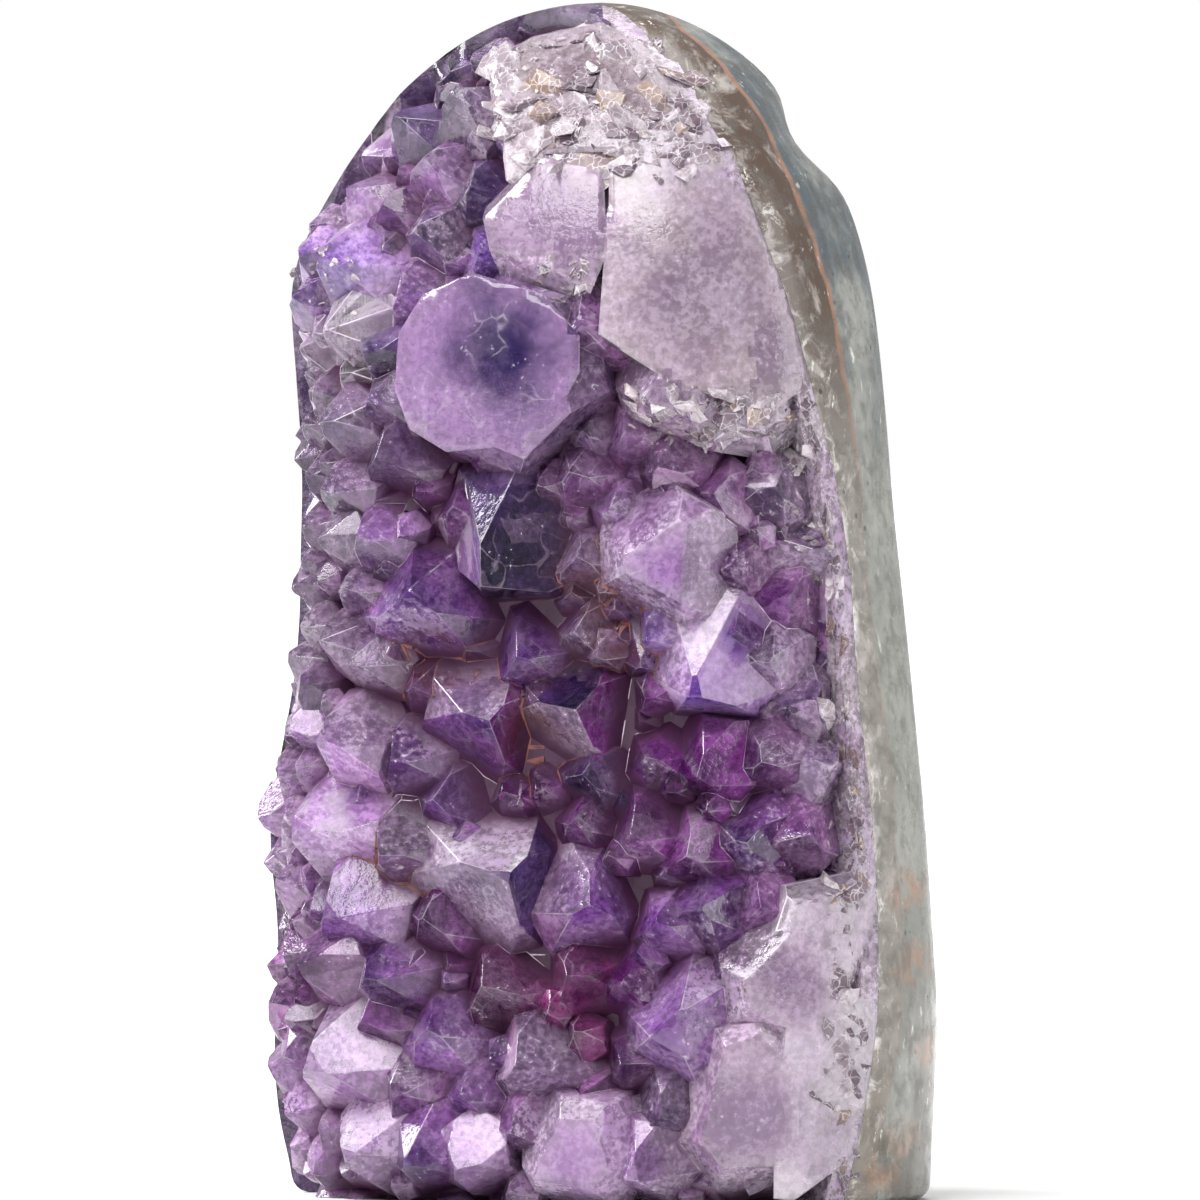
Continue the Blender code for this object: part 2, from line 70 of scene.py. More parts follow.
# The ground outer form
HEIGHT = 130.0
DOME_START = 80.0
DOME_SQUARENESS = (2.6, 1.9)
FRONT_EXPONENT = 2.8
BACK_EXPONENT = 2.25
LEFT_LOW = ((0, 35.4), (7, 37.4), (16, 38.2), (28, 37.6), (40, 39.2), (49, 37.0), (60, 35.2), (80, 34.8))
LEFT_HIGH = ((92, 36.4), (101, 38.4), (109, 36.0), (118, 34.6), (130, 34.6))
LEFT_WIDTHS = LEFT_LOW + LEFT_HIGH
RIGHT_WIDTHS = ((0, 36.4), (20, 37.3), (41, 35.8), (60, 33.8), (76, 32.0), (90, 31.0), (130, 31.0))
FRONT_DEPTHS = ((0, 24.0), (20, 25.5), (60, 25.5), (90, 25.0), (130, 25.0))
BACK_DEPTHS = ((0, 24.0), (20, 25.5), (60, 24.5), (90, 23.0), (130, 23.0))
BASE_ROUNDING = 1.8
TABLE_SOFTNESS = 4.0
SMALLEST_HALF = 0.05
FINE_SIDES = 160
FINE_LOW = (0, 0.25, 0.6, 1.1, 1.8, *np.arange(3.0, 80.0, 1.5))
FINE_DOME = (*np.arange(80.0, 126.0, 1.2), *np.arange(126.0, 129.2, 0.5), 129.4, 129.65, 129.85)
FINE_HEIGHTS = FINE_LOW + FINE_DOME

# Soft hollows that the polishing left on the back and the right flank:
# direction round the stone in degrees, height, spread in degrees, spread in height, depth
HOLLOWS = (
    (22, 115.2, 26, 3.8, 3.2),
    (60, 88, 22, 16, 1.5),
    (112, 52, 26, 14, 1.8),
    (150, 96, 24, 13, 1.6),
    (88, 20, 20, 12, 1.2),
    (158, 34, 18, 14, 1.1),
)

# Hollows end this far round the front, by the sine of the direction, and leave at
# least this share of the way out from the middle line
HOLLOW_LIMIT = -0.35
LEAST_LEFT = 0.1
ON_MIDDLE_LINE = 1e-6

# The bed, where the druse meets the rind: its Y along the right and the left
# flank by height, and the depth of the dish between them
BED_RIGHT_LOW = ((0, -15.8), (5, -15.8), (11, -14.0), (21, -12.0), (32, -11.1), (76, -10.6))
BED_RIGHT_HIGH = ((87, -14.4), (98, -18.0), (109, -20.2), (114, -19.8), (120, -18.6))
BED_RIGHT_TOP = ((124, -17.0), (128, -12.0))
BED_RIGHT = BED_RIGHT_LOW + BED_RIGHT_HIGH + BED_RIGHT_TOP
BED_LEFT = ((0, 3.0), (90, 3.0), (110, 2.0), (122, 0.5), (128, -1.0))
BED_DISH = 7.0
BED_EASE = 2.0
BED_TOP = 127.0
BED_COLUMNS = np.linspace(-45.0, 45.0, 25)
BED_ROWS = (-10.0, *range(0, 131, 10), 140.0)
BEHIND = 60.0
RIND_GAP = 0.05

# The root that the crystals share: its depth under the ground form, and the
# layer of quartz on the bed that is ground flush at the edge
ROOT_INSET = 7.5
QUARTZ_LAYER = 3.2

# Lines of sight from the display side: where they start and end before and
# behind the middle, the step along them, and how often a hit is halved down
SIGHT_START = -45.0
SIGHT_END = 14.0
SIGHT_STEP = 0.5
HALVINGS = 18

# Finest sizes told apart: step for a slope, corners that are one, planes that never meet
SLOPE_STEP = 0.05
CORNER_MERGE = 0.02
PARALLEL = 1e-4
ON_PLANE = 1e-6
FLAT_WITHIN = math.radians(1.0)
SHARP_FROM = math.radians(35.0)
TOUCHING = 1e-4
SHORTEST_EDGE = 0.3

# Crystals
PYRAMID_SLOPE = math.radians(51.8)
CRYSTAL_LENGTH = 21.0
VIEW_TURN = math.radians(20.0)
UP = Vector((0.0, 0.0, 1.0))
RIGHT = Vector((math.cos(VIEW_TURN), math.sin(VIEW_TURN), 0.0))
AHEAD = Vector((-math.sin(VIEW_TURN), math.cos(VIEW_TURN), 0.0))
FACING = Vector((-0.20, -0.98, 0.0)).normalized()
NORMAL_SHARE = 0.5
SIDE_FACE_SPREAD = (0.88, 1.06)
WIDE_FACE_SPREAD = (-0.06, 0.05)
NARROW_FACE_SPREAD = (0.04, 0.22)

# Smaller crystals that fill the room between the others: directions, seed, tries, widths,
# how far past the ground form they end, and how closely they stand. The last ones stand
# along the left edge, nearer the bed than the others may.
FILL_HEIGHTS = (-2.0, 128.5)
FILL_LEAN = 0.25
FILL_FROM_BED = 3.5
FILL = ((168.0, 368.0), 41, 3000, (6.0, 9.5), (-4.0, -1.6), 0.33)
SMALL_FILL = ((165.0, 345.0), 77, 6000, (3.4, 5.8), (-6.0, -3.0), 0.275)
EDGE_FILL = ((160.0, 250.0), 13, 5000, (5.5, 9.0), (-1.4, 1.2), 0.31)
EDGE_FROM_BED = 0.8

# Lower crystals grown in line with their neighbours
SIDE_SEED = 5
SIDE_SHARE = 0.28
SIDE_HIGHEST = 1.0
SIDE_SIZES = (0.42, 0.62)
SIDE_OUT = 0.40
SIDE_LOWERED = (0.26, 0.36)

# Crystals placed from the photo: across and up in the display side's view, width,
# lean across and up, turn in degrees, how far they end past the ground form, and tone
CRYSTALS = (
    (-30.5, 102.5, 13.6, -0.30, 0.10, 10, 0.5, "bright"),
    (-28.6, 110.2, 8.8, -0.40, 0.35, 40, -1.0, "pale"),
    (-30.5, 94.5, 10.0, -0.35, -0.15, 22, -0.5, "white"),
    (-25.4, 109.0, 8.8, -0.15, 0.20, 15, -2.0, "mauve"),
    (-19.8, 113.8, 10.8, -0.10, 0.25, 0, -0.8, "pale"),
    (-22.9, 118.0, 8.8, -0.30, 0.40, 30, -0.6, "indigo"),
    (-16.3, 120.4, 9.5, -0.20, 0.45, 12, 0.0, "smoky"),
    (-9.0, 120.2, 10.8, 0.0, 0.45, 48, 0.5, "bright"),
    (-3.2, 121.6, 8.8, 0.15, 0.40, 20, -1.8, "brown"),
    (-15.0, 110.4, 11.0, 0.05, 0.10, 35, -1.6, "indigo"),
    (-21.0, 105.4, 11.2, -0.10, 0.05, 5, -1.2, "smoky"),
    (-13.6, 103.9, 12.4, 0.05, 0.15, 50, -1.2, "bright"),
    (-6.0, 107.5, 15.5, 0.10, 0.15, 18, 6.5, "frost"),
    (-23.4, 98.0, 10.2, -0.10, -0.05, 28, -1.6, "lilac"),
    (-27.2, 91.8, 8.8, -0.20, -0.10, 55, -1.8, "indigo"),
    (-11.2, 90.4, 19.5, 0.0, 0.05, 8, 9.0, "heart"),
    (7.4, 88.2, 14.8, 0.05, -0.10, 25, 2.6, "frost"),
    (16.2, 86.0, 12.4, 0.20, -0.15, 47, 2.2, "white"),
    (-26.4, 86.8, 8.8, -0.15, 0.0, 20, -1.4, "smoky"),
    (-22.0, 86.6, 6.8, 0.0, 0.0, 44, -3.4, "indigo"),
    (-25.4, 80.6, 11.9, -0.10, -0.05, 14, -1.4, "smoky"),
    (-31.2, 84.4, 8.8, -0.45, 0.0, 33, -0.8, "smoky"),
    (-31.8, 77.4, 8.0, -0.50, 0.10, 8, -1.2, "smoky"),
    (-31.9, 71.6, 8.0, -0.45, -0.10, 52, -1.2, "grey"),
    (-27.6, 72.4, 9.2, -0.15, 0.10, 25, -1.6, "lilac"),
    (-21.0, 65.6, 18.3, 0.12, 0.05, 22, 0.6, "violet"),
    (-12.6, 67.2, 20.1, 0.05, -0.45, 32, 0.2, "deep"),
    (-4.1, 79.4, 10.0, 0.05, 0.05, 40, -1.8, "mauve"),
    (-3.0, 84.4, 7.0, 0.05, 0.10, 10, -3.0, "grey"),
    (-3.4, 70.6, 9.8, 0.10, 0.10, 32, -2.2, "grey"),
    (-4.4, 62.4, 9.2, -0.05, 0.05, 4, -2.8, "grey"),
    (-10.0, 60.0, 14.2, 0.10, 0.05, 46, -1.8, "violet"),
    (6.4, 69.4, 16.5, 0.16, -0.10, 10, 3.4, "pale"),
    (10.2, 55.6, 17.1, 0.10, -0.38, 38, 0.4, "bright"),
    (20.0, 66.0, 12.0, 0.15, 0.05, 18, -0.6, "mauve"),
    (24.4, 71.2, 10.0, 0.35, 0.05, 50, 0.4, "grey"),
    (18.8, 78.0, 11.2, 0.10, 0.10, 30, -0.8, "smoky"),
    (11.8, 77.4, 9.0, 0.05, 0.10, 6, -1.8, "mauve"),
    (5.6, 80.0, 10.0, 0.05, -0.05, 44, -1.6, "mauve"),
    (14.0, 69.4, 9.2, 0.10, 0.05, 24, -2.0, "mauve"),
    (18.0, 58.8, 10.5, 0.10, -0.10, 16, -1.0, "grey"),
    (14.4, 62.8, 10.0, 0.10, 0.10, 40, -1.8, "lilac"),
    (23.4, 54.6, 11.8, 0.25, 0.0, 34, 0.2, "smoky"),
    (24.6, 47.4, 10.8, 0.30, 0.0, 8, 0.2, "grey"),
    (16.8, 48.2, 11.5, 0.05, -0.10, 52, -1.4, "mauve"),
    (9.6, 46.6, 11.8, 0.0, -0.20, 20, -1.4, "purple"),
    (-3.0, 53.6, 14.0, 0.30, 0.0, 3, -0.6, "deep"),
    (-12.4, 52.4, 16.0, 0.38, -0.06, 3, -0.2, "grey"),
    (-30.6, 50.8, 12.4, -0.35, 0.15, 12, 0.6, "pale"),
    (-24.2, 48.2, 10.8, -0.10, 0.0, 36, -1.8, "lilac"),
    (-32.6, 40.4, 15.3, -0.40, 0.0, 24, 1.4, "pale"),
    (-19.6, 44.2, 11.8, -0.02, 0.08, 2, -2.8, "lilac"),
    (-24.6, 37.8, 12.4, -0.10, -0.10, 43, -0.6, "grey"),
    (-10.9, 35.6, 18.6, 0.42, 0.02, 3, 0.9, "star"),
    (-1.2, 33.2, 14.4, 0.40, 0.0, 50, -0.6, "pale"),
    (-4.4, 42.0, 10.0, 0.05, 0.10, 15, -3.6, "purple"),
    (-12.6, 45.0, 8.0, 0.0, 0.10, 38, -4.4, "purple"),
    (-3.4, 46.8, 9.0, 0.05, 0.05, 5, -2.8, "indigo"),
    (2.4, 40.6, 10.8, 0.0, 0.0, 33, -2.0, "purple"),
    (3.8, 48.8, 9.5, 0.05, 0.10, 48, -2.8, "purple"),
    (-29.8, 31.6, 14.2, -0.20, -0.10, 16, 0.8, "lilac"),
    (-32.8, 25.6, 10.8, -0.45, -0.05, 53, 0.2, "mauve"),
    (-26.0, 24.8, 11.8, -0.10, 0.0, 30, -0.8, "violet"),
    (-20.2, 31.0, 12.0, 0.0, 0.0, 9, -2.0, "purple"),
    (-13.4, 23.6, 15.1, 0.0, 0.10, 41, -1.6, "wine"),
    (-31.4, 14.8, 14.8, -0.35, -0.05, 3, 1.4, "pale"),
    (-19.0, 19.0, 13.0, 0.05, 0.15, 26, -0.6, "lilac"),
    (-23.2, 11.2, 12.0, -0.05, -0.10, 49, -0.8, "mauve"),
    (-16.4, 11.4, 9.0, 0.0, -0.05, 14, -1.8, "lilac"),
    (-9.0, 15.6, 15.3, 0.0, 0.0, 35, -0.2, "grey"),
    (-4.6, 25.2, 12.0, 0.05, 0.05, 57, -1.6, "wine"),
    (-10.2, 7.4, 9.5, 0.0, -0.15, 21, -1.0, "mauve"),
    (-4.0, 10.6, 9.0, 0.0, -0.05, 7, -2.0, "mauve"),
    (-27.6, 5.0, 11.8, -0.25, -0.25, 45, 0.8, "pale"),
    (-21.0, 4.2, 10.8, -0.05, -0.30, 31, 0.4, "violet"),
    (-15.8, 4.0, 9.5, 0.0, -0.30, 55, 0.2, "pale"),
    (-3.6, 4.6, 14.2, 0.0, -0.25, 17, 4.0, "pale"),
    (-27.4, 19.8, 9.2, -0.15, 0.0, 11, -2.0, "mauve"),
    (19.9, 23.9, 15.3, 0.15, -0.05, 28, 5.0, "frost"),
    (7.4, 19.0, 17.1, 0.05, -0.05, 6, 2.2, "lilac"),
    (16.4, 9.8, 19.5, 0.10, -0.15, 51, 6.5, "frost"),
    (6.0, 10.0, 12.0, 0.05, -0.15, 37, -0.4, "smoky"),
    (3.4, 3.2, 10.5, 0.0, -0.30, 19, 0.6, "pale"),
    (5.4, 30.6, 10.2, 0.05, 0.05, 42, -1.6, "lilac"),
    (10.4, 32.6, 11.5, 0.10, 0.05, 13, -0.8, "violet"),
    (17.0, 32.6, 9.5, 0.10, 0.0, 56, -1.2, "mauve"),
    (25.2, 30.2, 12.4, 0.35, 0.0, 23, 5.0, "white"),
    (26.0, 15.4, 14.2, 0.35, -0.10, 39, 8.0, "white"),
    (16.0, 39.6, 11.2, 0.10, 0.0, 4, -1.0, "violet"),
    (22.4, 40.6, 10.8, 0.25, 0.0, 47, 0.0, "mauve"),
    (8.8, 38.0, 11.2, 0.05, -0.05, 32, -1.4, "purple"),
    (1.4, 23.8, 10.2, 0.0, 0.0, 10, -2.0, "purple"),
    (1.2, 15.2, 8.8, 0.0, -0.05, 54, -2.6, "mauve"),
    (-17.2, 76.0, 8.8, 0.0, 0.20, 26, -2.0, "mauve"),
    (0.0, 75.6, 9.2, 0.05, 0.0, 18, -2.6, "pale"),
    (1.6, 84.0, 10.5, 0.05, 0.10, 50, -2.0, "mauve"),
    (-28.4, 58.4, 9.5, -0.25, -0.05, 6, -1.6, "grey"),
    (-31.8, 61.0, 8.2, -0.45, 0.10, 34, -1.4, "grey"),
    (-22.2, 55.8, 9.2, 0.0, 0.0, 22, -3.2, "mauve"),
    (11.0, 100.5, 23.0, 0.20, 0.05, 15, 14.0, "window"),
    (17.6, 93.0, 14.0, 0.30, 0.0, 40, 9.0, "window"),
    (4.0, 116.5, 13.0, 0.20, 0.45, 28, 3.0, "white"),
    (9.0, 112.5, 11.8, 0.30, 0.35, 3, 4.5, "white"),
    (-2.5, 95.8, 11.2, 0.10, 0.0, 36, 1.0, "mauve"),
    (2.0, 107.0, 11.2, 0.10, 0.20, 12, 1.6, "pale"),
)


def along(table, at):
    """The table's value there, on straight runs with softened corners."""
    places, values = zip(*table)
    near = [np.interp(at + step * TABLE_SOFTNESS, places, values) for step in (-1, -0.5, 0, 0.5, 1)]
    return float(np.mean(near))


def dome(z, inset=0.0):
    """Share of the full width and depth that is left at this height."""
    if z <= DOME_START:
        return 1.0
    rise = min(1.0, (z - DOME_START) / (HEIGHT - inset - DOME_START))
    power, root = DOME_SQUARENESS
    return (1.0 - rise**power) ** (1.0 / root)


def base_share(z):
    """The rounded arris round the cut base."""
    if z >= BASE_ROUNDING:
        return 0.0
    return BASE_ROUNDING * (1.0 - math.sqrt(1.0 - (1.0 - z / BASE_ROUNDING) ** 2))


def half_sizes(z, inset=0.0):
    """Left, right, front and back half sizes of the ground form at this height."""
    z = min(HEIGHT, max(0.0, z))
    taken = base_share(z) + inset
    tables = (LEFT_WIDTHS, RIGHT_WIDTHS, FRONT_DEPTHS, BACK_DEPTHS)
    return [max(SMALLEST_HALF, along(table, z) * dome(z, inset) - taken) for table in tables]


def hollow_depth(angle, z):
    """How far the soft hollows sink the surface in that direction, angle 0 at +X and 90 at +Y."""
    total = 0.0
    for at, height, spread, rise, depth in HOLLOWS:
        turn = (math.degrees(angle) - at + 180) % 360 - 180
        total += depth * math.exp(-((turn / spread) ** 2) - ((z - height) / rise) ** 2)
    return total


def outer_point(angle, z, inset=0.0):
    """Point of the ground form in that direction and at that height."""
    left, right, front, back = half_sizes(z, inset)
    c, s = math.cos(angle), math.sin(angle)
    half_x = right if c > 0 else left
    half_y = back if s > 0 else front
    power = 2.0 / (BACK_EXPONENT if s > 0 else FRONT_EXPONENT)
    x = math.copysign(half_x * abs(c) ** power, c)
    y = math.copysign(half_y * abs(s) ** power, s)
    sunk = hollow_depth(angle, z) if s > HOLLOW_LIMIT else 0.0
    length = math.hypot(x, y)
    keep = max(LEAST_LEFT, 1.0 - sunk / length) if length > ON_MIDDLE_LINE else 1.0
    return Vector((x * keep, y * keep, z))


def inside_outer(point):
    """Below 0 inside the ground form, for points at the front."""
    left, right, front, back = half_sizes(point.z)
    half_x = right if point.x > 0 else left
    half_y = back if point.y > 0 else front
    power = BACK_EXPONENT if point.y > 0 else FRONT_EXPONENT
    return abs(point.x / half_x) ** power + abs(point.y / half_y) ** power - 1.0


def outer_normal(point):
    """Outward direction of the ground form at a point on it."""
    slopes = []
    for axis in range(3):
        ahead, behind = point.copy(), point.copy()
        ahead[axis] += SLOPE_STEP
        behind[axis] -= SLOPE_STEP
        slopes.append(inside_outer(ahead) - inside_outer(behind))
    return Vector(slopes).normalized()


def seen_point(across, up):
    """Where a line of sight from the display side meets the ground form, or None."""
    start = RIGHT * across + UP * up
    for here in np.arange(SIGHT_START, SIGHT_END, SIGHT_STEP):
        if inside_outer(start + AHEAD * float(here)) < 0:
            low, high = float(here) - SIGHT_STEP, float(here)
            for _ in range(HALVINGS):
                middle = (low + high) / 2
                if inside_outer(start + AHEAD * middle) < 0:
                    high = middle
                else:
                    low = middle
            return start + AHEAD * high
    return None


def bed_depth(x, z):
    """The Y of the bed, a dish between the left and the right flank."""
    z = min(BED_TOP, max(0.0, z))
    left, right, _, _ = half_sizes(z)
    share = min(1.0, max(0.0, (x + left) / (left + right)))
    eased = share**BED_EASE
    rim = along(BED_LEFT, z) * (1.0 - eased) + along(BED_RIGHT, z) * eased
    return rim + BED_DISH * dome(z) * (1.0 - (2.0 * share - 1.0) ** 2)


def vertex_grid_faces(rows, columns, start=0):
    """Faces of a closed ring of rows, each with the same number of columns."""
    faces = []
    for row in range(rows - 1):
        for column in range(columns):
            after = (column + 1) % columns
            low, high = start + row * columns, start + (row + 1) * columns
            faces.append((low + column, low + after, high + after, high + column))
    return faces


def mesh_object(name, vertices, faces):
    """An object from points in millimetres."""
    mesh = bpy.data.meshes.new(name)
    mesh.from_pydata([tuple(c * MM for c in v) for v in vertices], [], faces)
    mesh.update()
    made = bpy.data.objects.new(name, mesh)
    bpy.context.scene.collection.objects.link(made)
    return made


def outer_form(name, inset=0.0, sides=FINE_SIDES, heights=FINE_HEIGHTS):
    """The ground form as a closed loft with a flat base."""
    shrink = (HEIGHT - inset - DOME_START) / (HEIGHT - DOME_START)
    vertices = []
    for z in heights:
        high = z if z <= DOME_START else DOME_START + (z - DOME_START) * shrink
        for side in range(sides):
            vertices.append(outer_point(2 * math.pi * side / sides, high, inset))
    faces = vertex_grid_faces(len(heights), sides)
    vertices.append(Vector((0.0, 0.0, HEIGHT - inset)))
    top, last = len(vertices) - 1, (len(heights) - 1) * sides
    faces.append(tuple(reversed(range(sides))))
    for side in range(sides):
        faces.append((last + side, last + (side + 1) % sides, top))
    return mesh_object(name, vertices, faces)


def behind_bed(name, offset):
    """A closed block behind the bed, whose front face follows the bed moved back by offset."""
    xs, zs = BED_COLUMNS, BED_ROWS
    vertices, faces = [], []
    for front in (True, False):
        for z in zs:
            for x in xs:
                y = bed_depth(float(x), float(z)) + offset if front else BEHIND
                vertices.append((float(x), y, float(z)))
    across, count = len(xs), len(xs) * len(zs)

    def at(layer, row, column):
        """Number of the corner there."""
        return layer * count + row * across + column

    for row in range(len(zs) - 1):
        for column in range(across - 1):
            corners = [(row, column), (row, column + 1), (row + 1, column + 1), (row + 1, column)]
            faces.append([at(0, *c) for c in corners])
            faces.append([at(1, *c) for c in reversed(corners)])
    rim = [(0, c) for c in range(across)] + [(r, across - 1) for r in range(1, len(zs))]
    rim += [(len(zs) - 1, c) for c in range(across - 2, -1, -1)]
    rim += [(r, 0) for r in range(len(zs) - 2, 0, -1)]
    for here, after in zip(rim, rim[1:] + rim[:1]):
        faces.append((at(0, *after), at(0, *here), at(1, *here), at(1, *after)))
    return mesh_object(name, vertices, faces)


def linear(*screen):
    """A colour from screen values of 0 to 255."""
    return tuple(((c / 255 + 0.055) / 1.055) ** 2.4 if c > 10 else c / 255 / 12.92 for c in screen)


# Tones of the crystals: screen colour at the rim and at the heart, share of frost
TONES = {
    "pale": ((242, 212, 246), (190, 142, 206), 0.35),
    "frost": ((220, 198, 216), (160, 132, 164), 0.50),
    "lilac": ((214, 168, 230), (134, 70, 166), 0.15),
    "bright": ((226, 190, 246), (120, 56, 184), 0.20),
    "mauve": ((206, 146, 208), (116, 48, 128), 0.14),
    "violet": ((192, 124, 214), (82, 20, 122), 0.10),
    "indigo": ((136, 100, 172), (42, 18, 88), 0.06),
    "deep": ((92, 54, 128), (24, 8, 54), 0.03),
    "heart": ((188, 150, 202), (44, 18, 92), 0.05),
    "star": ((208, 166, 220), (80, 22, 116), 0.22),
    "purple": ((196, 96, 204), (104, 10, 112), 0.06),
    "wine": ((184, 70, 150), (92, 6, 70), 0.06),
    "smoky": ((176, 150, 182), (96, 70, 116), 0.15),
    "grey": ((206, 180, 210), (138, 110, 150), 0.30),
    "white": ((250, 244, 248), (232, 220, 230), 0.90),
    "window": ((204, 190, 194), (158, 140, 156), 0.75),
    "brown": ((172, 134, 130), (104, 60, 68), 0.20),
    "quartz": ((198, 184, 188), (150, 130, 138), 0.60),
    "crust": ((240, 232, 236), (220, 208, 214), 1.0),
    "root": ((118, 52, 128), (60, 12, 76), 0.03),
}
QUARTZ_IOR = 1.544
FROST = linear(230, 213, 234)
RUST = linear(120, 60, 56)

# How much of its looks a crystal keeps beside its neighbours', and how its faces vary: frost, painted light
# and shade that differ from face to face, and a share of faces painted pale as painted glare
OWN_SHARE = 0.78
NEIGHBOUR_REACH = 14.0
FROST_SPREAD = (0.2, 1.8)
PAINTED_LIGHT_SPREAD = (0.55, 1.30)
PAINTED_GLARE_FACES = 0.12
PAINTED_GLARE_FROST = (0.45, 0.85)
FACE_SEEDS = 31

# Painted highlight and painted shade on the faces of the plainest crystals, by the way that they look in the
# view: across, up, tone
FACE_PAINTED_LIGHT = {
    53: ((-0.54, 0.84, "white"), (-0.33, -0.94, "grey"), (0.95, -0.3, "indigo")),
    47: ((-0.54, 0.84, "grey"), (1.0, 0.0, "purple"), (-0.4, -0.9, "violet")),
    46: ((-0.54, 0.84, "deep"), (0.5, -0.86, "frost"), (1.0, 0.2, "purple")),
    26: ((0.0, 1.0, "indigo"), (-1.0, -0.3, "deep"), (1.0, -0.3, "deep")),
    29: ((-0.3, 0.9, "grey"), (0.4, -0.9, "smoky")),
    33: ((-0.5, 0.5, "pale"), (0.7, 0.4, "lilac"), (0.0, -1.0, "bright")),
    54: ((-0.5, 0.8, "grey"), (0.6, -0.5, "lilac"), (-0.8, -0.5, "mauve")),
}

# Faces turned away from the line of sight by less than this keep their crystal's looks, without painted
# highlight or shade by their direction
SIDEWAYS_FROM = 0.05

# How far the dark middle of a crystal and of the ground heart lie off their own middle: across, up
CORE_SHIFTS = {15: (2.0, 1.0)}
HEART_SHIFT = (3.4, 1.4)

# Places where the stone is ground flush: tone, and outline in the display side's view
SLABS = (
    ("window", (
        (0.7, 97.7), (2.0, 92.8), (6.5, 89.9), (15.2, 86.6), (20.7, 88.5), (20.7, 96.1),
        (18.5, 101.5), (14.7, 108.1), (10.0, 115.1), (4.4, 114.6), (0.8, 112.4),
    )),
    ("heart", (
        (-22.4, 88.2), (-20.8, 84.0), (-16.8, 81.6), (-9.0, 82.4), (-4.6, 86.2), (-2.4, 90.2),
        (-2.4, 94.4), (-6.4, 98.8), (-14.0, 101.0), (-19.4, 98.6), (-22.0, 94.4),
    )),
    ("frost", ((-11.2, 106.8), (-6.0, 101.8), (-1.2, 98.8), (0.6, 103.2), (0.2, 112.2), (-7.4, 112.4))),
    ("quartz", (
        (-7.8, 112.6), (0.4, 112.4), (4.4, 114.2), (10.4, 114.4), (9.8, 119.4), (4.6, 125.8),
        (0.0, 128.0), (-7.4, 126.4), (-12.6, 123.6), (-10.6, 116.6),
    )),
    ("white", (
        (18.6, 1.0), (20.8, 0.8), (25.6, 4.2), (28.4, 10.8), (29.0, 21.4), (22.0, 15.2), (18.6, 8.6),
    )),
)
SLAB_SPREAD = 10.5
SLAB_FRONT = 16.0

# Wear along edges, and how the faces of the ground form are told from it
EDGE_WEAR = 0.028
WORN_WITHIN = 0.08
SAME_FACE = 0.998

# How near a crystal has to be for a face to be its own, how wide the root counts
# as a crystal, and how far the layer of quartz next to the bed reaches
OWNED_WITHIN = 0.25
ROOT_HALF = 1000.0
QUARTZ_EDGE = 4.2

# Blending of the ground faces' colours, and depths under the ground form
BLEND_REACH = 0.8
BLEND_SOFTNESS = 0.9
NEVER_ZERO = 1e-9
DEPTH_ROWS = 261
DEEPEST = 20.0
SMALLEST_SHARE = 0.01

# Hearts: their size, place and turn inside the crystals, how far their root, the layer on
# the bed and their ground faces lie inside the druse, and the frost from which one is whole
HEART_SEED = 9
HEART_SHARE = 0.80
HEART_LOWERED = 1.8
HEART_TURN = (-8.0, 8.0)
HEART_INSET = 8.8
HEART_LAYER = 2.6
HEART_UNDER = 0.6
HEART_GAP = 0.15
MILKY = 0.68

# Places in the display side's view, across, up and radius: iron stain, ochre in the rind
STAINS = ((-7.6, 52.0, 9.0), (0.0, 66.2, 8.0), (2.2, 60.7, 7.0), (-17.4, 58.5, 7.0), (-22.9, 35.7, 6.0))
OCHRES = ((34.0, 34.0, 3.5), (34.6, 26.0, 3.5), (37.0, 16.0, 4.0), (33.6, 7.0, 3.2), (31.0, 3.6, 3.0))

# Films in the valleys: widths, the corners of their section as shares of the width to
# the side and outwards, the thinnest end, and the least share that is kept
STAIN_WIDTH = 0.42
SEAM_WIDTH = 0.20
FILM_SECTION = ((1, 0.15), (0, 0.45), (-1, 0.15), (0, -0.45))
FILM_THINNEST = 0.01
FILM_LEAST = 0.1

# How full the stained places are, and the noises that break the films up: mean, swing,
# scale per millimetre and how far it is shifted
STAIN_FILL = 2.0
STAIN_BROKEN = (0.4, 1.8, 0.45)
SEAM_BROKEN = (-0.1, 1.3, 0.16)
SEAM_THINNED = (0.6, 0.8, 0.9, 50.0)

# Looks of the films: scale of the clouds, where they begin and end, the two tones, roughness
STAIN_LOOKS = (500.0, 0.35, 0.65, (linear(70, 34, 40), linear(128, 72, 64)), 0.55)
SEAM_LOOKS = (420.0, 0.38, 0.62, (linear(226, 208, 220), linear(150, 120, 150)), 0.5)

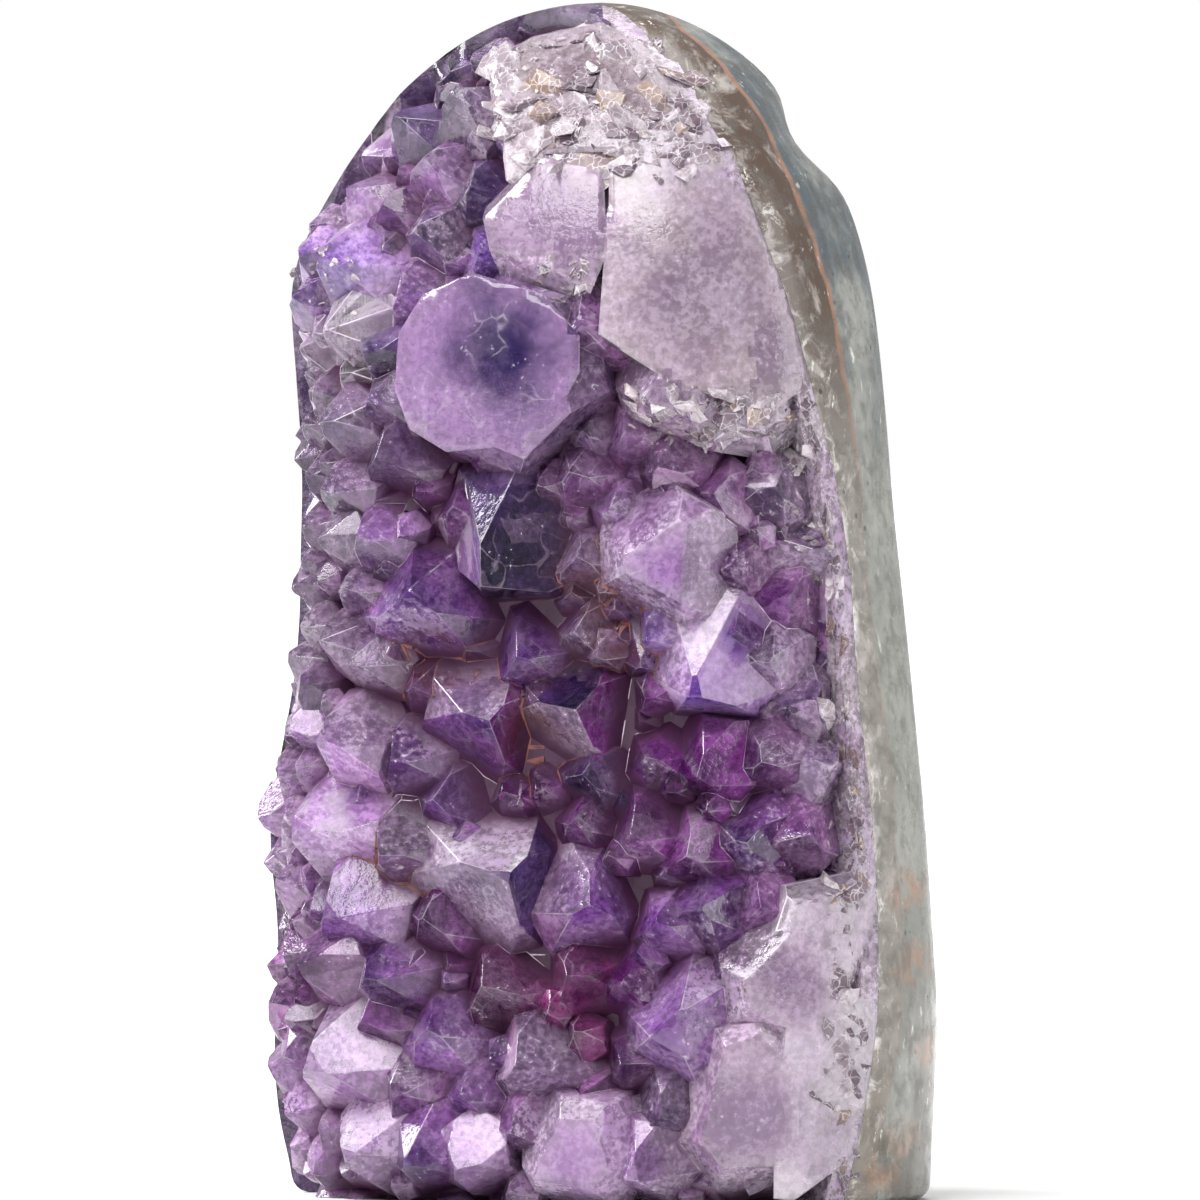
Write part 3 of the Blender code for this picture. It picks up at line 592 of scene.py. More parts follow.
# Broken white quartz: how deep the pieces sit, their widths and thicknesses as shares of the
# length, tilt and corners; then middle across and up, half sizes, how many, half lengths
CHIP_SEED = 23
CHIP_SIGHT = 80.0
CHIP_SUNK = 0.78
CHIP_WIDTHS = (0.35, 0.9)
CHIP_THICKNESSES = (0.14, 0.30)
CHIP_TILT = 0.28
SHARD_POINTS = 10
CHIPS = (
    (-1.0, 119.5, 11.0, 7.5, 120, (1.6, 4.6)),
    (-1.0, 119.5, 11.0, 7.5, 130, (0.5, 1.4)),
    (8.0, 115.5, 5.5, 4.0, 40, (1.2, 3.4)),
    (11.5, 85.6, 9.0, 3.6, 50, (1.4, 3.6)),
    (11.5, 85.6, 9.0, 3.6, 70, (0.4, 1.2)),
    (-4.0, 100.5, 3.5, 2.5, 16, (0.8, 2.4)),
    (21.6, 82.0, 1.8, 8.0, 34, (0.6, 2.8)),
    (23.8, 69.0, 2.0, 9.0, 34, (0.6, 3.0)),
    (25.4, 52.0, 2.0, 10.0, 34, (0.6, 2.8)),
    (26.4, 38.0, 2.0, 8.0, 36, (0.6, 2.8)),
    (26.6, 38.0, 2.2, 38.0, 150, (0.2, 0.8)),
    (26.0, 14.0, 2.6, 13.0, 44, (1.0, 3.4)),
    (-30.5, 100.0, 4.0, 9.0, 50, (0.3, 1.2)),
    (16.0, 22.0, 4.0, 4.0, 20, (0.3, 1.0)),
)

# The studio: the floor's half size and height in millimetres, its glow by the distance
# in metres, and the strength of the surround to the camera and as a light
FLOOR = 3e3
FLOOR_DROP = -0.05
FLOOR_GLOW = 0.82
GLOW_FROM = 0.06
GLOW_FULL = 0.50
FLOOR_COLOUR = (0.86, 0.86, 0.86, 1.0)
FLOOR_ROUGHNESS = 0.6
WHITE = (1.0, 1.0, 1.0, 1.0)
WORLD_SEEN = 1.0
WORLD_LIGHT = 0.42
CYCLES = {
    "max_bounces": 5,
    "transmission_bounces": 4,
    "diffuse_bounces": 2,
    "glossy_bounces": 3,
    "adaptive_threshold": 0.08,
}

# The camera, in metres: it looks down a little, at a point across and up from the middle
# of the base, and the view is as wide as 1200 pixels of the photo at 9190 pixels a metre
CAMERA_DISTANCE = 4.0
CAMERA_LIFT = math.radians(1.6)
CAMERA_AIM = (0.0006, 0.0650)
CAMERA_CLIP = (0.05, 60.0)
SENSOR = 36.0
VIEW_WIDTH = 1200 / 9190

# Area lights: place and size in metres, power in watts
LIGHTS = (
    ("upper_left", (-0.72, -0.24, 0.78), (0.50, 0.50), 14.0),
    ("front", (-0.10, -0.90, 1.05), (0.80, 0.80), 17.0),
    ("right", (0.95, 0.10, 0.30), (0.40, 0.80), 3.2),
    ("above", (0.10, 0.15, 0.85), (0.50, 0.40), 2.8),
)


class Crystal:
    """One crystal: its planes about its tip, where it stands and how it is coloured."""

    def __init__(self, planes, place, width, surface, looks, faces=()):
        self.planes = planes
        self.place = place
        self.width = width
        self.surface = surface
        self.looks = looks
        self.faces = faces
        self.tip = place.translation.copy()
        self.axis = (place.to_3x3() @ Vector((0, 0, 1))).normalized()
        self.shift = Vector((0.0, 0.0, 0.0))

    def world_planes(self):
        """Normals and distances of its planes from the origin, in millimetres."""
        turn = np.array(self.place.to_3x3())
        normals = np.array([tuple(n) for n, _ in self.planes]) @ turn.T
        offsets = np.array([d for _, d in self.planes]) + normals @ np.array(self.tip)
        return normals, offsets

    def inner(self, share, lowered, turn):
        """A smaller one inside it, its tip lowered along the axis, turned about it."""
        planes = [(n, d * share) for n, d in self.planes]
        place = Matrix.Translation(self.axis * -lowered) @ self.place @ Matrix.Rotation(turn, 4, "Z")
        made = Crystal(planes, place, self.width * share, self.surface, self.looks)
        made.shift = self.shift
        return made


def crystal_planes(width, length, spin, chance):
    """Outward normals and distances of a crystal's faces, its tip at the origin and pointing to +Z."""
    half = width / 2
    planes = []
    for side in range(6):
        turn = math.radians(spin + 60 * side)
        flat = Vector((math.cos(turn), math.sin(turn), 0.0))
        planes.append((flat, half * chance.uniform(*SIDE_FACE_SPREAD)))
        tip = flat * math.sin(PYRAMID_SLOPE) + UP * math.cos(PYRAMID_SLOPE)
        spread = WIDE_FACE_SPREAD if side % 2 == 0 else NARROW_FACE_SPREAD
        planes.append((tip, half * chance.uniform(*spread)))
    planes.append((-UP, length))
    return planes


def solid_from_planes(planes):
    """Corners of the convex solid that the planes bound."""
    normals = np.array([tuple(n) for n, _ in planes])
    offsets = np.array([d for _, d in planes])
    picks = np.array(list(itertools.combinations(range(len(planes)), 3)))
    rows = normals[picks]
    good = np.abs(np.linalg.det(rows)) > PARALLEL
    points = np.linalg.solve(rows[good], offsets[picks[good]][..., None])[..., 0]
    inside = (points @ normals.T <= offsets + ON_PLANE).all(axis=1)
    return points[inside]


def worn(planes, depth):
    """The planes, with one more along each edge that takes that much off it."""
    corners = solid_from_planes(planes)
    found = []
    touching = [np.abs(corners @ np.array(n) - d) < TOUCHING for n, d in planes]
    for i, j in itertools.combinations(range(len(planes)), 2):
        shared = corners[touching[i] & touching[j]]
        if len(shared) < 2 or np.ptp(shared, axis=0).max() < SHORTEST_EDGE:
            continue
        normal = (planes[i][0] + planes[j][0]).normalized()
        found.append((normal, float(shared[0] @ np.array(normal)) - depth))
    return planes + found


def crystal_object(name, crystal, wear):
    """A crystal's closed mesh, the hull of its corners, with worn edges."""
    bm = bmesh.new()
    for corner in solid_from_planes(worn(crystal.planes, wear) if wear else crystal.planes):
        bm.verts.new(tuple(c * MM for c in corner))
    bmesh.ops.remove_doubles(bm, verts=bm.verts, dist=CORNER_MERGE * MM)
    bmesh.ops.convex_hull(bm, input=bm.verts)
    bmesh.ops.dissolve_limit(bm, angle_limit=FLAT_WITHIN, verts=bm.verts, edges=bm.edges)
    bmesh.ops.recalc_face_normals(bm, faces=bm.faces)
    mesh = bpy.data.meshes.new(name)
    bm.to_mesh(mesh)
    bm.free()
    made = bpy.data.objects.new(name, mesh)
    place = crystal.place.copy()
    place.translation *= MM
    made.matrix_world = place
    return made


def crystal_axis(surface, lean_across, lean_up):
    """Direction that a crystal points in, between the form's outward one and the display side's."""
    axis = outer_normal(surface) * NORMAL_SHARE + FACING * (1.0 - NORMAL_SHARE)
    return (axis + RIGHT * lean_across + UP * lean_up).normalized()


def crystal_place(surface, axis, past):
    """Matrix in millimetres that stands a crystal with its tip past the surface along its axis."""
    turn = UP.rotation_difference(axis).to_matrix().to_4x4()
    return Matrix.Translation(surface + axis * past) @ turn


def tone_looks(tone):
    """A tone's seven values: colour at the rim, colour at the heart, frost."""
    rim, heart, frost = TONES[tone]
    return np.array((*linear(*rim), *linear(*heart), frost))


def in_view(across, up):
    """A step across and up in the display side's view."""
    return RIGHT * across + UP * up


def main_crystals():
    """The listed crystals."""
    found = []
    for number, (across, up, width, lean_across, lean_up, spin, past, tone) in enumerate(CRYSTALS):
        surface = seen_point(across, up)
        place = crystal_place(surface, crystal_axis(surface, lean_across, lean_up), past)
        planes = crystal_planes(width, CRYSTAL_LENGTH, spin, random.Random(number))
        made = Crystal(planes, place, width, surface, tone_looks(tone), FACE_PAINTED_LIGHT.get(number, ()))
        made.shift = in_view(*CORE_SHIFTS.get(number, (0.0, 0.0)))
        found.append(made)
    return found


def ground_slabs():
    """Parts of the druse that are ground flush, as solids with that outline."""
    found = []
    for tone, outline in SLABS:
        middle = np.mean(outline, axis=0)
        surface = seen_point(*(float(c) for c in middle))
        turn = Matrix((RIGHT, UP, -AHEAD)).transposed().to_4x4()
        planes = []
        for here, after in zip(outline, outline[1:] + outline[:1]):
            edge = Vector(after) - Vector(here)
            normal = Vector((edge.y, -edge.x, 0.0)).normalized()
            planes.append((normal, normal.x * (here[0] - middle[0]) + normal.y * (here[1] - middle[1])))
        planes += [(UP, SLAB_FRONT), (-UP, CRYSTAL_LENGTH)]
        place = Matrix.Translation(surface) @ turn
        made = Crystal(planes, place, 2 * SLAB_SPREAD, surface, tone_looks(tone))
        if tone == "heart":
            made.shift = in_view(*HEART_SHIFT)
        found.append(made)
    return found


def even_out(crystals):
    """Takes the looks of each crystal part of the way to those of its neighbours."""
    places = np.array([tuple(crystal.surface) for crystal in crystals])
    looks = np.array([crystal.looks for crystal in crystals])
    for crystal, place in zip(crystals, places):
        near = np.exp(-(np.linalg.norm(places - place, axis=1) / NEIGHBOUR_REACH) ** 2)
        crystal.looks = crystal.looks * OWN_SHARE + (near @ looks) / near.sum() * (1.0 - OWN_SHARE)


def fill_crystals(taken, directions, seed, tries, widths, short, spacing, from_bed=FILL_FROM_BED):
    """Smaller crystals scattered wherever the ones there leave room."""
    chance = random.Random(seed)
    spots = [tuple(crystal.surface) for crystal in taken]
    sizes = [crystal.width for crystal in taken]
    found = []
    for number in range(tries):
        surface = outer_point(math.radians(chance.uniform(*directions)), chance.uniform(*FILL_HEIGHTS))
        width = chance.uniform(*widths)
        if surface.y > bed_depth(surface.x, surface.z) - from_bed:
            continue
        gaps = np.linalg.norm(np.array(spots) - np.array(surface), axis=1)
        if (gaps - spacing * (width + np.array(sizes))).min() < 0:
            continue
        spots.append(tuple(surface))
        sizes.append(width)
        lean_across = chance.uniform(-FILL_LEAN, FILL_LEAN)
        lean_up = chance.uniform(-FILL_LEAN, FILL_LEAN)
        place = crystal_place(surface, crystal_axis(surface, lean_across, lean_up), chance.uniform(*short))
        spin = chance.uniform(0, 60)
        planes = crystal_planes(width, CRYSTAL_LENGTH, spin, random.Random(len(CRYSTALS) + number))
        near = min(taken, key=lambda crystal: (crystal.surface - surface).length)
        found.append(Crystal(planes, place, width, surface, near.looks))
    return found


def side_crystals(taken):
    """Lower crystals grown side by side with some of the others, and in line with them."""
    chance = random.Random(SIDE_SEED)
    found = []
    for crystal in taken:
        past = (crystal.tip - crystal.surface).dot(crystal.axis)
        keep, turn, size = chance.random(), chance.uniform(0, 2 * math.pi), chance.uniform(*SIDE_SIZES)
        if past > SIDE_HIGHEST or keep > SIDE_SHARE:
            continue
        out, down = crystal.width * SIDE_OUT, crystal.width * chance.uniform(*SIDE_LOWERED)
        place = crystal.place @ Matrix.Translation((math.cos(turn) * out, math.sin(turn) * out, -down))
        planes = [(n, d * size) for n, d in crystal.planes]
        found.append(Crystal(planes, place, crystal.width * size, crystal.surface, crystal.looks))
    return found


def add_boolean(target, operation, **operands):
    """A Boolean modifier with one other object or a collection of them."""
    cut = target.modifiers.new(operation.title(), "BOOLEAN")
    cut.operation = operation
    cut.solver = "MANIFOLD"
    for name, value in operands.items():
        setattr(cut, name, value)


def apply_modifiers(obj):
    """Bakes the modifiers in and removes the cutters."""
    graph = bpy.context.evaluated_depsgraph_get()
    graph.update()
    mesh = bpy.data.meshes.new_from_object(obj.evaluated_get(graph))
    cutters = [modifier.object for modifier in obj.modifiers if modifier.object]
    obj.modifiers.clear()
    obj.data = mesh
    for cutter in cutters:
        bpy.data.objects.remove(cutter, do_unlink=True)


def united(root, crystals, wear):
    """Unites a root with the crystals that stand on it."""
    group = bpy.data.collections.new("crystals")
    bpy.context.scene.collection.children.link(group)
    for number, crystal in enumerate(crystals):
        group.objects.link(crystal_object(f"crystal_{number}", crystal, wear))
    add_boolean(root, "UNION", operand_type="COLLECTION", collection=group)
    apply_modifiers(root)
    for crystal in list(group.objects):
        bpy.data.objects.remove(crystal, do_unlink=True)
    bpy.data.collections.remove(group)


def depths(points):
    """How far points in millimetres lie under the ground form, measured from its middle line."""
    heights = np.linspace(0.0, HEIGHT, DEPTH_ROWS)
    sizes = np.array([half_sizes(z) for z in heights])
    left, right, front, back = (np.interp(points[:, 2], heights, column) for column in sizes.T)
    half_x = np.where(points[:, 0] > 0, right, left)
    half_y = np.where(points[:, 1] > 0, back, front)
    power = np.where(points[:, 1] > 0, BACK_EXPONENT, FRONT_EXPONENT)
    share = (np.abs(points[:, 0] / half_x) ** power + np.abs(points[:, 1] / half_y) ** power) ** (1 / power)
    return (1.0 - share) * np.hypot(points[:, 0], points[:, 1]) / np.maximum(share, SMALLEST_SHARE)


def read(collection, name, width=1, kind=float):
    """One property of all the items of a mesh, as an array."""
    values = np.empty(len(collection) * width, dtype=kind)
    collection.foreach_get(name, values)
    return values.reshape(-1, width) if width > 1 else values


class Surface:
    """A mesh read into arrays, in millimetres: its faces, and the crystal under each of them."""

    def __init__(self, obj, crystals):
        self.mesh = obj.data
        self.crystals = crystals
        self.centres = read(self.mesh.polygons, "center", 3) / MM
        self.normals = read(self.mesh.polygons, "normal", 3)
        self.totals = read(self.mesh.polygons, "loop_total", kind=int)
        self.corners = read(self.mesh.loops, "vertex_index", kind=int)
        self.points = read(self.mesh.vertices, "co", 3) / MM
        count = len(self.mesh.polygons)
        self.owner = np.full(count, -1)
        self.plane = np.full(count, -1)
        self.depth = np.full(count, OWNED_WITHIN)
        for number, crystal in enumerate(crystals):
            normals, offsets = crystal.world_planes()
            distances = self.centres @ normals.T - offsets
            depth = distances.max(axis=1)
            closer = depth < self.depth
            self.depth[closer] = depth[closer]
            self.owner[closer] = number
            self.plane[closer] = distances.argmax(axis=1)[closer]

    def write(self, name, values):
        """A value for each face, on all its corners."""
        values = np.asarray(values, dtype=float)
        kind, key = ("FLOAT_COLOR", "color") if values.shape[1] == 4 else ("FLOAT_VECTOR", "vector")
        layer = self.mesh.attributes.new(name, kind, "CORNER")
        layer.data.foreach_set(key, np.repeat(values, self.totals, axis=0).ravel())

    def smooth_ground(self, ground):
        """Runs the colours of the ground faces into each other, and shades these faces smooth."""
        self.mesh.polygons.foreach_set("use_smooth", ground)
        picked = np.repeat(ground, self.totals)
        used, back = np.unique(self.corners[picked], return_inverse=True)
        points = self.points[used]
        total, looks = np.full(len(points), NEVER_ZERO), np.zeros((len(points), 6))
        for crystal in self.crystals:
            normals, offsets = crystal.world_planes()
            depth = (points @ normals.T - offsets).max(axis=1)
            weight = np.where(depth < BLEND_REACH, np.exp(-depth / BLEND_SOFTNESS), 0.0)
            total += weight
            looks += weight[:, None] * crystal.looks[:6]
        looks = (looks / total[:, None])[back]
        for name, first in (("rim", 0), ("heart", 3)):
            layer = self.mesh.attributes[name]
            values = read(layer.data, "color", 4)
            values[picked, :3] = looks[:, first:first + 3]
            layer.data.foreach_set("color", values.ravel())

    def write_depth(self):
        """How far each corner lies under the ground form."""
        layer = self.mesh.attributes.new("valley", "FLOAT", "CORNER")
        layer.data.foreach_set("value", np.clip(depths(self.points), 0.0, DEEPEST)[self.corners])


def face_looks(crystal, number, plane, normal):
    """Rim colour, heart colour and frost of one face of a crystal, with painted light and shade that differ
    from face to face, painted glare on some faces, and on the plainest crystals a painted highlight on some
    faces and painted shade on others by the way they are turned.
    """
    looks = crystal.looks
    chance = random.Random(int(number * FACE_SEEDS + plane))
    # Each face is painted a little lighter or darker as painted light and shade, and some are painted pale as
    # painted glare
    frost, shade = looks[6] * chance.uniform(*FROST_SPREAD), chance.uniform(*PAINTED_LIGHT_SPREAD)
    if chance.random() < PAINTED_GLARE_FACES:
        frost = chance.uniform(*PAINTED_GLARE_FROST)
    # On the plainest crystals a face takes a tone by the way it is turned: painted highlight on some faces,
    # painted shade on others
    seen = Vector((RIGHT.dot(normal), normal.z))
    if crystal.faces and seen.length > SIDEWAYS_FROM:
        seen.normalize()
        best = max(crystal.faces, key=lambda entry: Vector(entry[:2]).normalized().dot(seen))
        looks, shade = tone_looks(best[2]), 1.0
        frost = looks[6]
    return looks[:3] * shade, looks[3:6] * shade, frost


def paint(obj, crystals):
    """Writes on each face the colours, place and direction of its crystal, and returns the surface."""
    surface = Surface(obj, crystals)
    edge_side = np.array([bed_depth(x, z) for x, _, z in surface.centres]) - surface.centres[:, 1]
    kept = {}
    rows = {"rim": [], "heart": [], "tip": [], "axis": [], "facts": []}
    for face, number in enumerate(surface.owner):
        if number < 0:
            right = surface.centres[face] @ np.array(RIGHT) > 0
            looks = tone_looks("root" if edge_side[face] > QUARTZ_EDGE else "crust" if right else "smoky")
            rim, heart, frost = looks[:3], looks[3:6], looks[6]
            tip, axis, half = Vector((0, 0, 0)), UP, ROOT_HALF
            natural = True
        else:
            crystal, plane = crystals[number], surface.plane[face]
            key = (number, plane)
            if key not in kept:
                normal = crystal.world_planes()[0][plane]
                kept[key] = (*face_looks(crystal, number, plane, Vector(normal)), Vector(normal))
            rim, heart, frost, normal = kept[key]
            tip, axis, half = crystal.tip + crystal.shift, crystal.axis, crystal.width / 2
            natural = normal.dot(Vector(surface.normals[face])) > SAME_FACE
        edge = 0.0 if natural or surface.depth[face] < -WORN_WITHIN else 1.0
        ground = 0.0 if natural or edge else 1.0
        if ground:
            rim, heart, frost = crystal.looks[:3], crystal.looks[3:6], crystal.looks[6]
        rows["rim"].append((*rim, ground))
        rows["heart"].append((*heart, 1.0))
        rows["tip"].append(tuple(tip * MM))
        rows["axis"].append(tuple(axis))
        rows["facts"].append((half * MM, frost, edge))
    for name, values in rows.items():
        surface.write(name, values)
    surface.smooth_ground(np.array(rows["rim"])[:, 3] > 0.5)
    surface.write_depth()
    return surface


SOCKETS = {"roughness": "Roughness", "transmission": "Transmission Weight", "ior": "IOR", "normal": "Normal"}


class Nodes:
    """Short calls for building a material."""

    def __init__(self, name):
        self.material = bpy.data.materials.new(name)
        self.material.use_nodes = True
        self.tree = self.material.node_tree
        self.shader = self.tree.nodes["Principled BSDF"]
        self.out = self.tree.nodes["Material Output"]
        self.place = self.new("ShaderNodeTexCoord").outputs["Object"]
        self.colour = None

    def new(self, kind, **settings):
        node = self.tree.nodes.new(kind)
        for key, value in settings.items():
            setattr(node, key, value)
        return node

    def put(self, socket, value):
        if hasattr(value, "is_output"):
            self.tree.links.new(value, socket)
        elif value is not None:
            socket.default_value = value

    def maths(self, operation, a, b=None, c=None, clamp=False):
        node = self.new("ShaderNodeMath", operation=operation, use_clamp=clamp)
        for socket, value in zip(node.inputs, (a, b, c)):
            self.put(socket, value)
        return node.outputs[0]

    def times(self, *values):
        result = values[0]
        for value in values[1:]:
            result = self.maths("MULTIPLY", result, value)
        return result

    def vectors(self, operation, a, b=None, scale=None, output="Vector"):
        node = self.new("ShaderNodeVectorMath", operation=operation)
        self.put(node.inputs[0], a)
        self.put(node.inputs[1], b)
        if scale is not None:
            self.put(node.inputs["Scale"], scale)
        return node.outputs[output]

    def split(self, value):
        node = self.new("ShaderNodeSeparateXYZ")
        self.put(node.inputs[0], value)
        return node.outputs[0], node.outputs[1], node.outputs[2]

    def noise(self, scale, detail=4.0, rough=0.55, distort=0.0, place=None, colour=False):
        node = self.new("ShaderNodeTexNoise")
        self.put(node.inputs["Vector"], place or self.place)
        node.inputs["Scale"].default_value = scale
        node.inputs["Detail"].default_value = detail
        node.inputs["Roughness"].default_value = rough
        node.inputs["Distortion"].default_value = distort
        return node.outputs["Color" if colour else "Fac"]

    def cells(self, scale, feature="F1", place=None, output="Distance"):
        node = self.new("ShaderNodeTexVoronoi", feature=feature)
        self.put(node.inputs["Vector"], place or self.place)
        node.inputs["Scale"].default_value = scale
        return node.outputs[output]

    def warped(self, scale, amount):
        """Places moved about by a noise."""
        push = self.vectors("SUBTRACT", self.noise(scale, 1.0, colour=True), (0.5, 0.5, 0.5))
        return self.vectors("ADD", self.place, self.vectors("SCALE", push, scale=amount))

    def span(self, value, low, high, to_low=0.0, to_high=1.0, smooth=True):
        node = self.new("ShaderNodeMapRange", interpolation_type="SMOOTHSTEP" if smooth else "LINEAR")
        names = ("Value", "From Min", "From Max", "To Min", "To Max")
        for name, number in zip(names, (value, low, high, to_low, to_high)):
            self.put(node.inputs[name], number)
        return node.outputs["Result"]

    def mix(self, share, a, b, blend="MIX"):
        node = self.new("ShaderNodeMix", data_type="RGBA", blend_type=blend)
        self.put(node.inputs["Factor"], share)
        for socket, value in ((node.inputs[6], a), (node.inputs[7], b)):
            self.put(socket, (*value, 1.0) if isinstance(value, tuple) and len(value) == 3 else value)
        return node.outputs[2]

    def over(self, share, tone, blend="MIX"):
        """Lays a tone over the colour built up so far."""
        self.colour = self.mix(share, self.colour, tone, blend)

    def patches(self, scale, low, high, most=1.0, detail=4.0, rough=0.55, distort=0.0, place=None):
        """A share from a noise: 0 up to low, and the most from high on."""
        return self.span(self.noise(scale, detail, rough, distort, place), low, high, 0.0, most)

    def finished(self, **inputs):
        """Sets the colour and other sockets of the shader, and gives the material."""
        self.put(self.shader.inputs["Base Color"], self.colour)
        for name, value in inputs.items():
            self.put(self.shader.inputs[SOCKETS[name]], value)
        return self.material

    def attribute(self, name, output="Vector"):
        return self.new("ShaderNodeAttribute", attribute_name=name).outputs[output]

    def bump(self, height, strength, distance, normal=None):
        node = self.new("ShaderNodeBump")
        self.put(node.inputs["Height"], height)
        node.inputs["Strength"].default_value = strength
        node.inputs["Distance"].default_value = distance
        self.put(node.inputs["Normal"], normal)
        return node.outputs["Normal"]

    def spots(self, places):
        """1 near the given places, seen from the display side: across, up and radius in millimetres."""
        across = self.vectors("DOT_PRODUCT", self.place, tuple(RIGHT), output="Value")
        up = self.split(self.place)[2]
        total = 0.0
        for at_across, at_up, radius in places:
            off = self.maths("SUBTRACT", across, at_across * MM), self.maths("SUBTRACT", up, at_up * MM)
            square = self.maths("ADD", self.times(off[0], off[0]), self.times(off[1], off[1]))
            total = self.maths("MAXIMUM", total, self.span(self.maths("SQRT", square), radius * MM, 0.0))
        return total


def radial_share(made, wobble):
    """0 on a crystal's axis and 1 at its widest, a little uneven."""
    offset = made.vectors("SUBTRACT", made.place, made.attribute("tip"))
    axis = made.attribute("axis")
    along_axis = made.vectors("DOT_PRODUCT", offset, axis, output="Value")
    across = made.vectors("SUBTRACT", offset, made.vectors("SCALE", axis, scale=along_axis))
    half = made.split(made.attribute("facts"))[0]
    share = made.maths("DIVIDE", made.vectors("LENGTH", across, output="Value"), half)
    uneven = made.maths("MULTIPLY_ADD", made.noise(130.0, 3.0, 0.62), wobble, -wobble / 2)
    return made.maths("ADD", share, uneven)


def crystal_material():
    """See-through quartz: rim, heart and frost, grain and fractures, iron stain, painted glints and edge
    highlights, and painted shade in the deep valleys.
    """
    made = Nodes("amethyst")
    _, frost, edge = made.split(made.attribute("facts"))
    ground = made.attribute("rim", "Alpha")
    valley = made.attribute("valley", "Fac")
    core = made.span(radial_share(made, 1.5), 1.0, 0.1)
    made.colour = made.mix(core, made.attribute("rim", "Color"), made.attribute("heart", "Color"))
    grain = made.noise(1300.0, 2.0, 0.7)
    cloud = made.noise(170.0, 3.0, 0.6)
    rough_patch = made.maths("ADD", made.times(grain, 0.45), made.times(cloud, 0.55))
    cover = made.maths("MULTIPLY", made.span(rough_patch, 0.42, 0.60, 0.05, 1.0), frost, clamp=True)
    cover = made.times(cover, made.maths("MULTIPLY_ADD", ground, -0.5, 1.0))
    made.over(cover, FROST)
    # Fractures, and cells that are a little dimmer or lighter, less so on ground faces: a random tint, with
    # the lighter cells as painted reflections from inner fractures
    warped = made.warped(280.0, 0.0035)
    lines = made.span(made.cells(230.0, "DISTANCE_TO_EDGE", warped), 0.04, 0.0)
    made.over(made.times(lines, made.span(cloud, 0.48, 0.62, 0.0, 0.45)), FROST)
    made.over(made.times(ground, made.span(cloud, 0.45, 0.65, 0.0, 0.08)), FROST)
    patch = made.split(made.cells(240.0, place=warped, output="Color"))
    natural = made.maths("MULTIPLY_ADD", ground, -0.55, 1.0)
    dim = made.times(made.span(patch[0], 0.35, 0.95, 0.0, 0.55, smooth=False), natural)
    made.over(dim, linear(176, 140, 184), "MULTIPLY")
    lit = made.times(made.span(patch[1], 0.55, 1.0, 0.0, 0.22, smooth=False), natural)
    made.over(lit, linear(226, 190, 232))
    speck = made.times(made.span(grain, 0.34, 0.66, -0.34, 0.36), natural)
    made.colour = made.vectors("SCALE", made.colour, scale=made.maths("ADD", speck, 1.0))
    # Iron stain, painted glints, and worn edges painted pale as partly chipped quartz and partly painted
    # highlight
    stain = made.times(made.spots(STAINS), made.span(valley, 1.5, 5.0), made.span(cloud, 0.35, 0.6))
    made.over(made.times(stain, 0.8), RUST)
    # Painted glints: small white specks painted into the colour in place of glinting light
    painted_glints = made.times(made.span(grain, 0.66, 0.70), made.span(patch[2], 0.55, 0.65), natural)
    made.over(painted_glints, linear(250, 248, 252))
    # Worn edges painted pale: partly chipped quartz, partly painted highlight along the edges
    made.over(made.times(edge, made.span(cloud, 0.45, 0.6, 0.0, 0.6)), linear(240, 228, 242))
    # Painted shade deep in the valleys: darker there, and duller
    made.over(made.span(valley, 1.5, 8.0, 0.0, 0.85), linear(128, 58, 122), "MULTIPLY")
    made.over(made.span(valley, 5.5, 7.2, 0.0, 0.85), linear(92, 32, 82))
    gloss = made.maths("ADD", made.span(cloud, 0.3, 0.7, 0.05, 0.14), made.times(cover, 0.35))
    gloss = made.maths("ADD", gloss, made.span(valley, 4.5, 7.0, 0.0, 0.45))
    absorb = made.new("ShaderNodeVolumeAbsorption")
    absorb.inputs["Color"].default_value = (0.70, 0.34, 0.73, 1.0)
    absorb.inputs["Density"].default_value = 50.0
    made.tree.links.new(absorb.outputs[0], made.out.inputs["Volume"])
    relief = made.bump(grain, 0.40, 0.00014)
    return made.finished(roughness=gloss, transmission=0.64, ior=QUARTZ_IOR, normal=relief)


def heart_material():
    """The dark inside of a crystal, paler towards its faces, with veins."""
    made = Nodes("amethyst_heart")
    made.colour = made.attribute("heart", "Color")
    made.over(made.span(radial_share(made, 0.9), 0.35, 1.1, 0.0, 0.45), made.attribute("rim", "Color"))
    made.over(made.patches(420.0, 0.54, 0.74, 0.35, 3.0, 0.72, 1.4), linear(196, 140, 214))
    made.over(made.patches(130.0, 0.35, 0.6, 0.45, 1.0, 0.6), linear(150, 96, 165), "MULTIPLY")
    return made.finished(roughness=0.4)


def chip_material():
    """Broken white quartz: each piece of its own shade, a few of them rusty, with fractures."""
    made = Nodes("broken_quartz")
    cloud = made.noise(420.0, 5.0, 0.65)
    shade = made.attribute("shade", "Fac")
    made.colour = made.mix(made.span(shade, 0.20, 0.9), linear(212, 200, 208), linear(92, 74, 90))
    made.over(made.span(shade, 0.18, 0.08), linear(150, 126, 110))
    made.over(made.span(cloud, 0.40, 0.60, 0.0, 0.8), linear(116, 94, 108))
    lines = made.span(made.cells(900.0, "DISTANCE_TO_EDGE", made.warped(700.0, 0.0016)), 0.06, 0.0, 0.0, 0.7)
    made.over(lines, linear(236, 228, 234))
    gloss = made.span(cloud, 0.3, 0.7, 0.15, 0.45)
    relief = made.bump(made.noise(1400.0, 4.0), 0.4, 0.00015)
    return made.finished(roughness=gloss, transmission=0.35, ior=QUARTZ_IOR, normal=relief)


def film_material(name, scale, low, high, tones, roughness):
    """A matt film, clouded between two tones."""
    made = Nodes(name)
    made.colour = made.mix(made.patches(scale, low, high, rough=0.65), *tones)
    return made.finished(roughness=roughness)


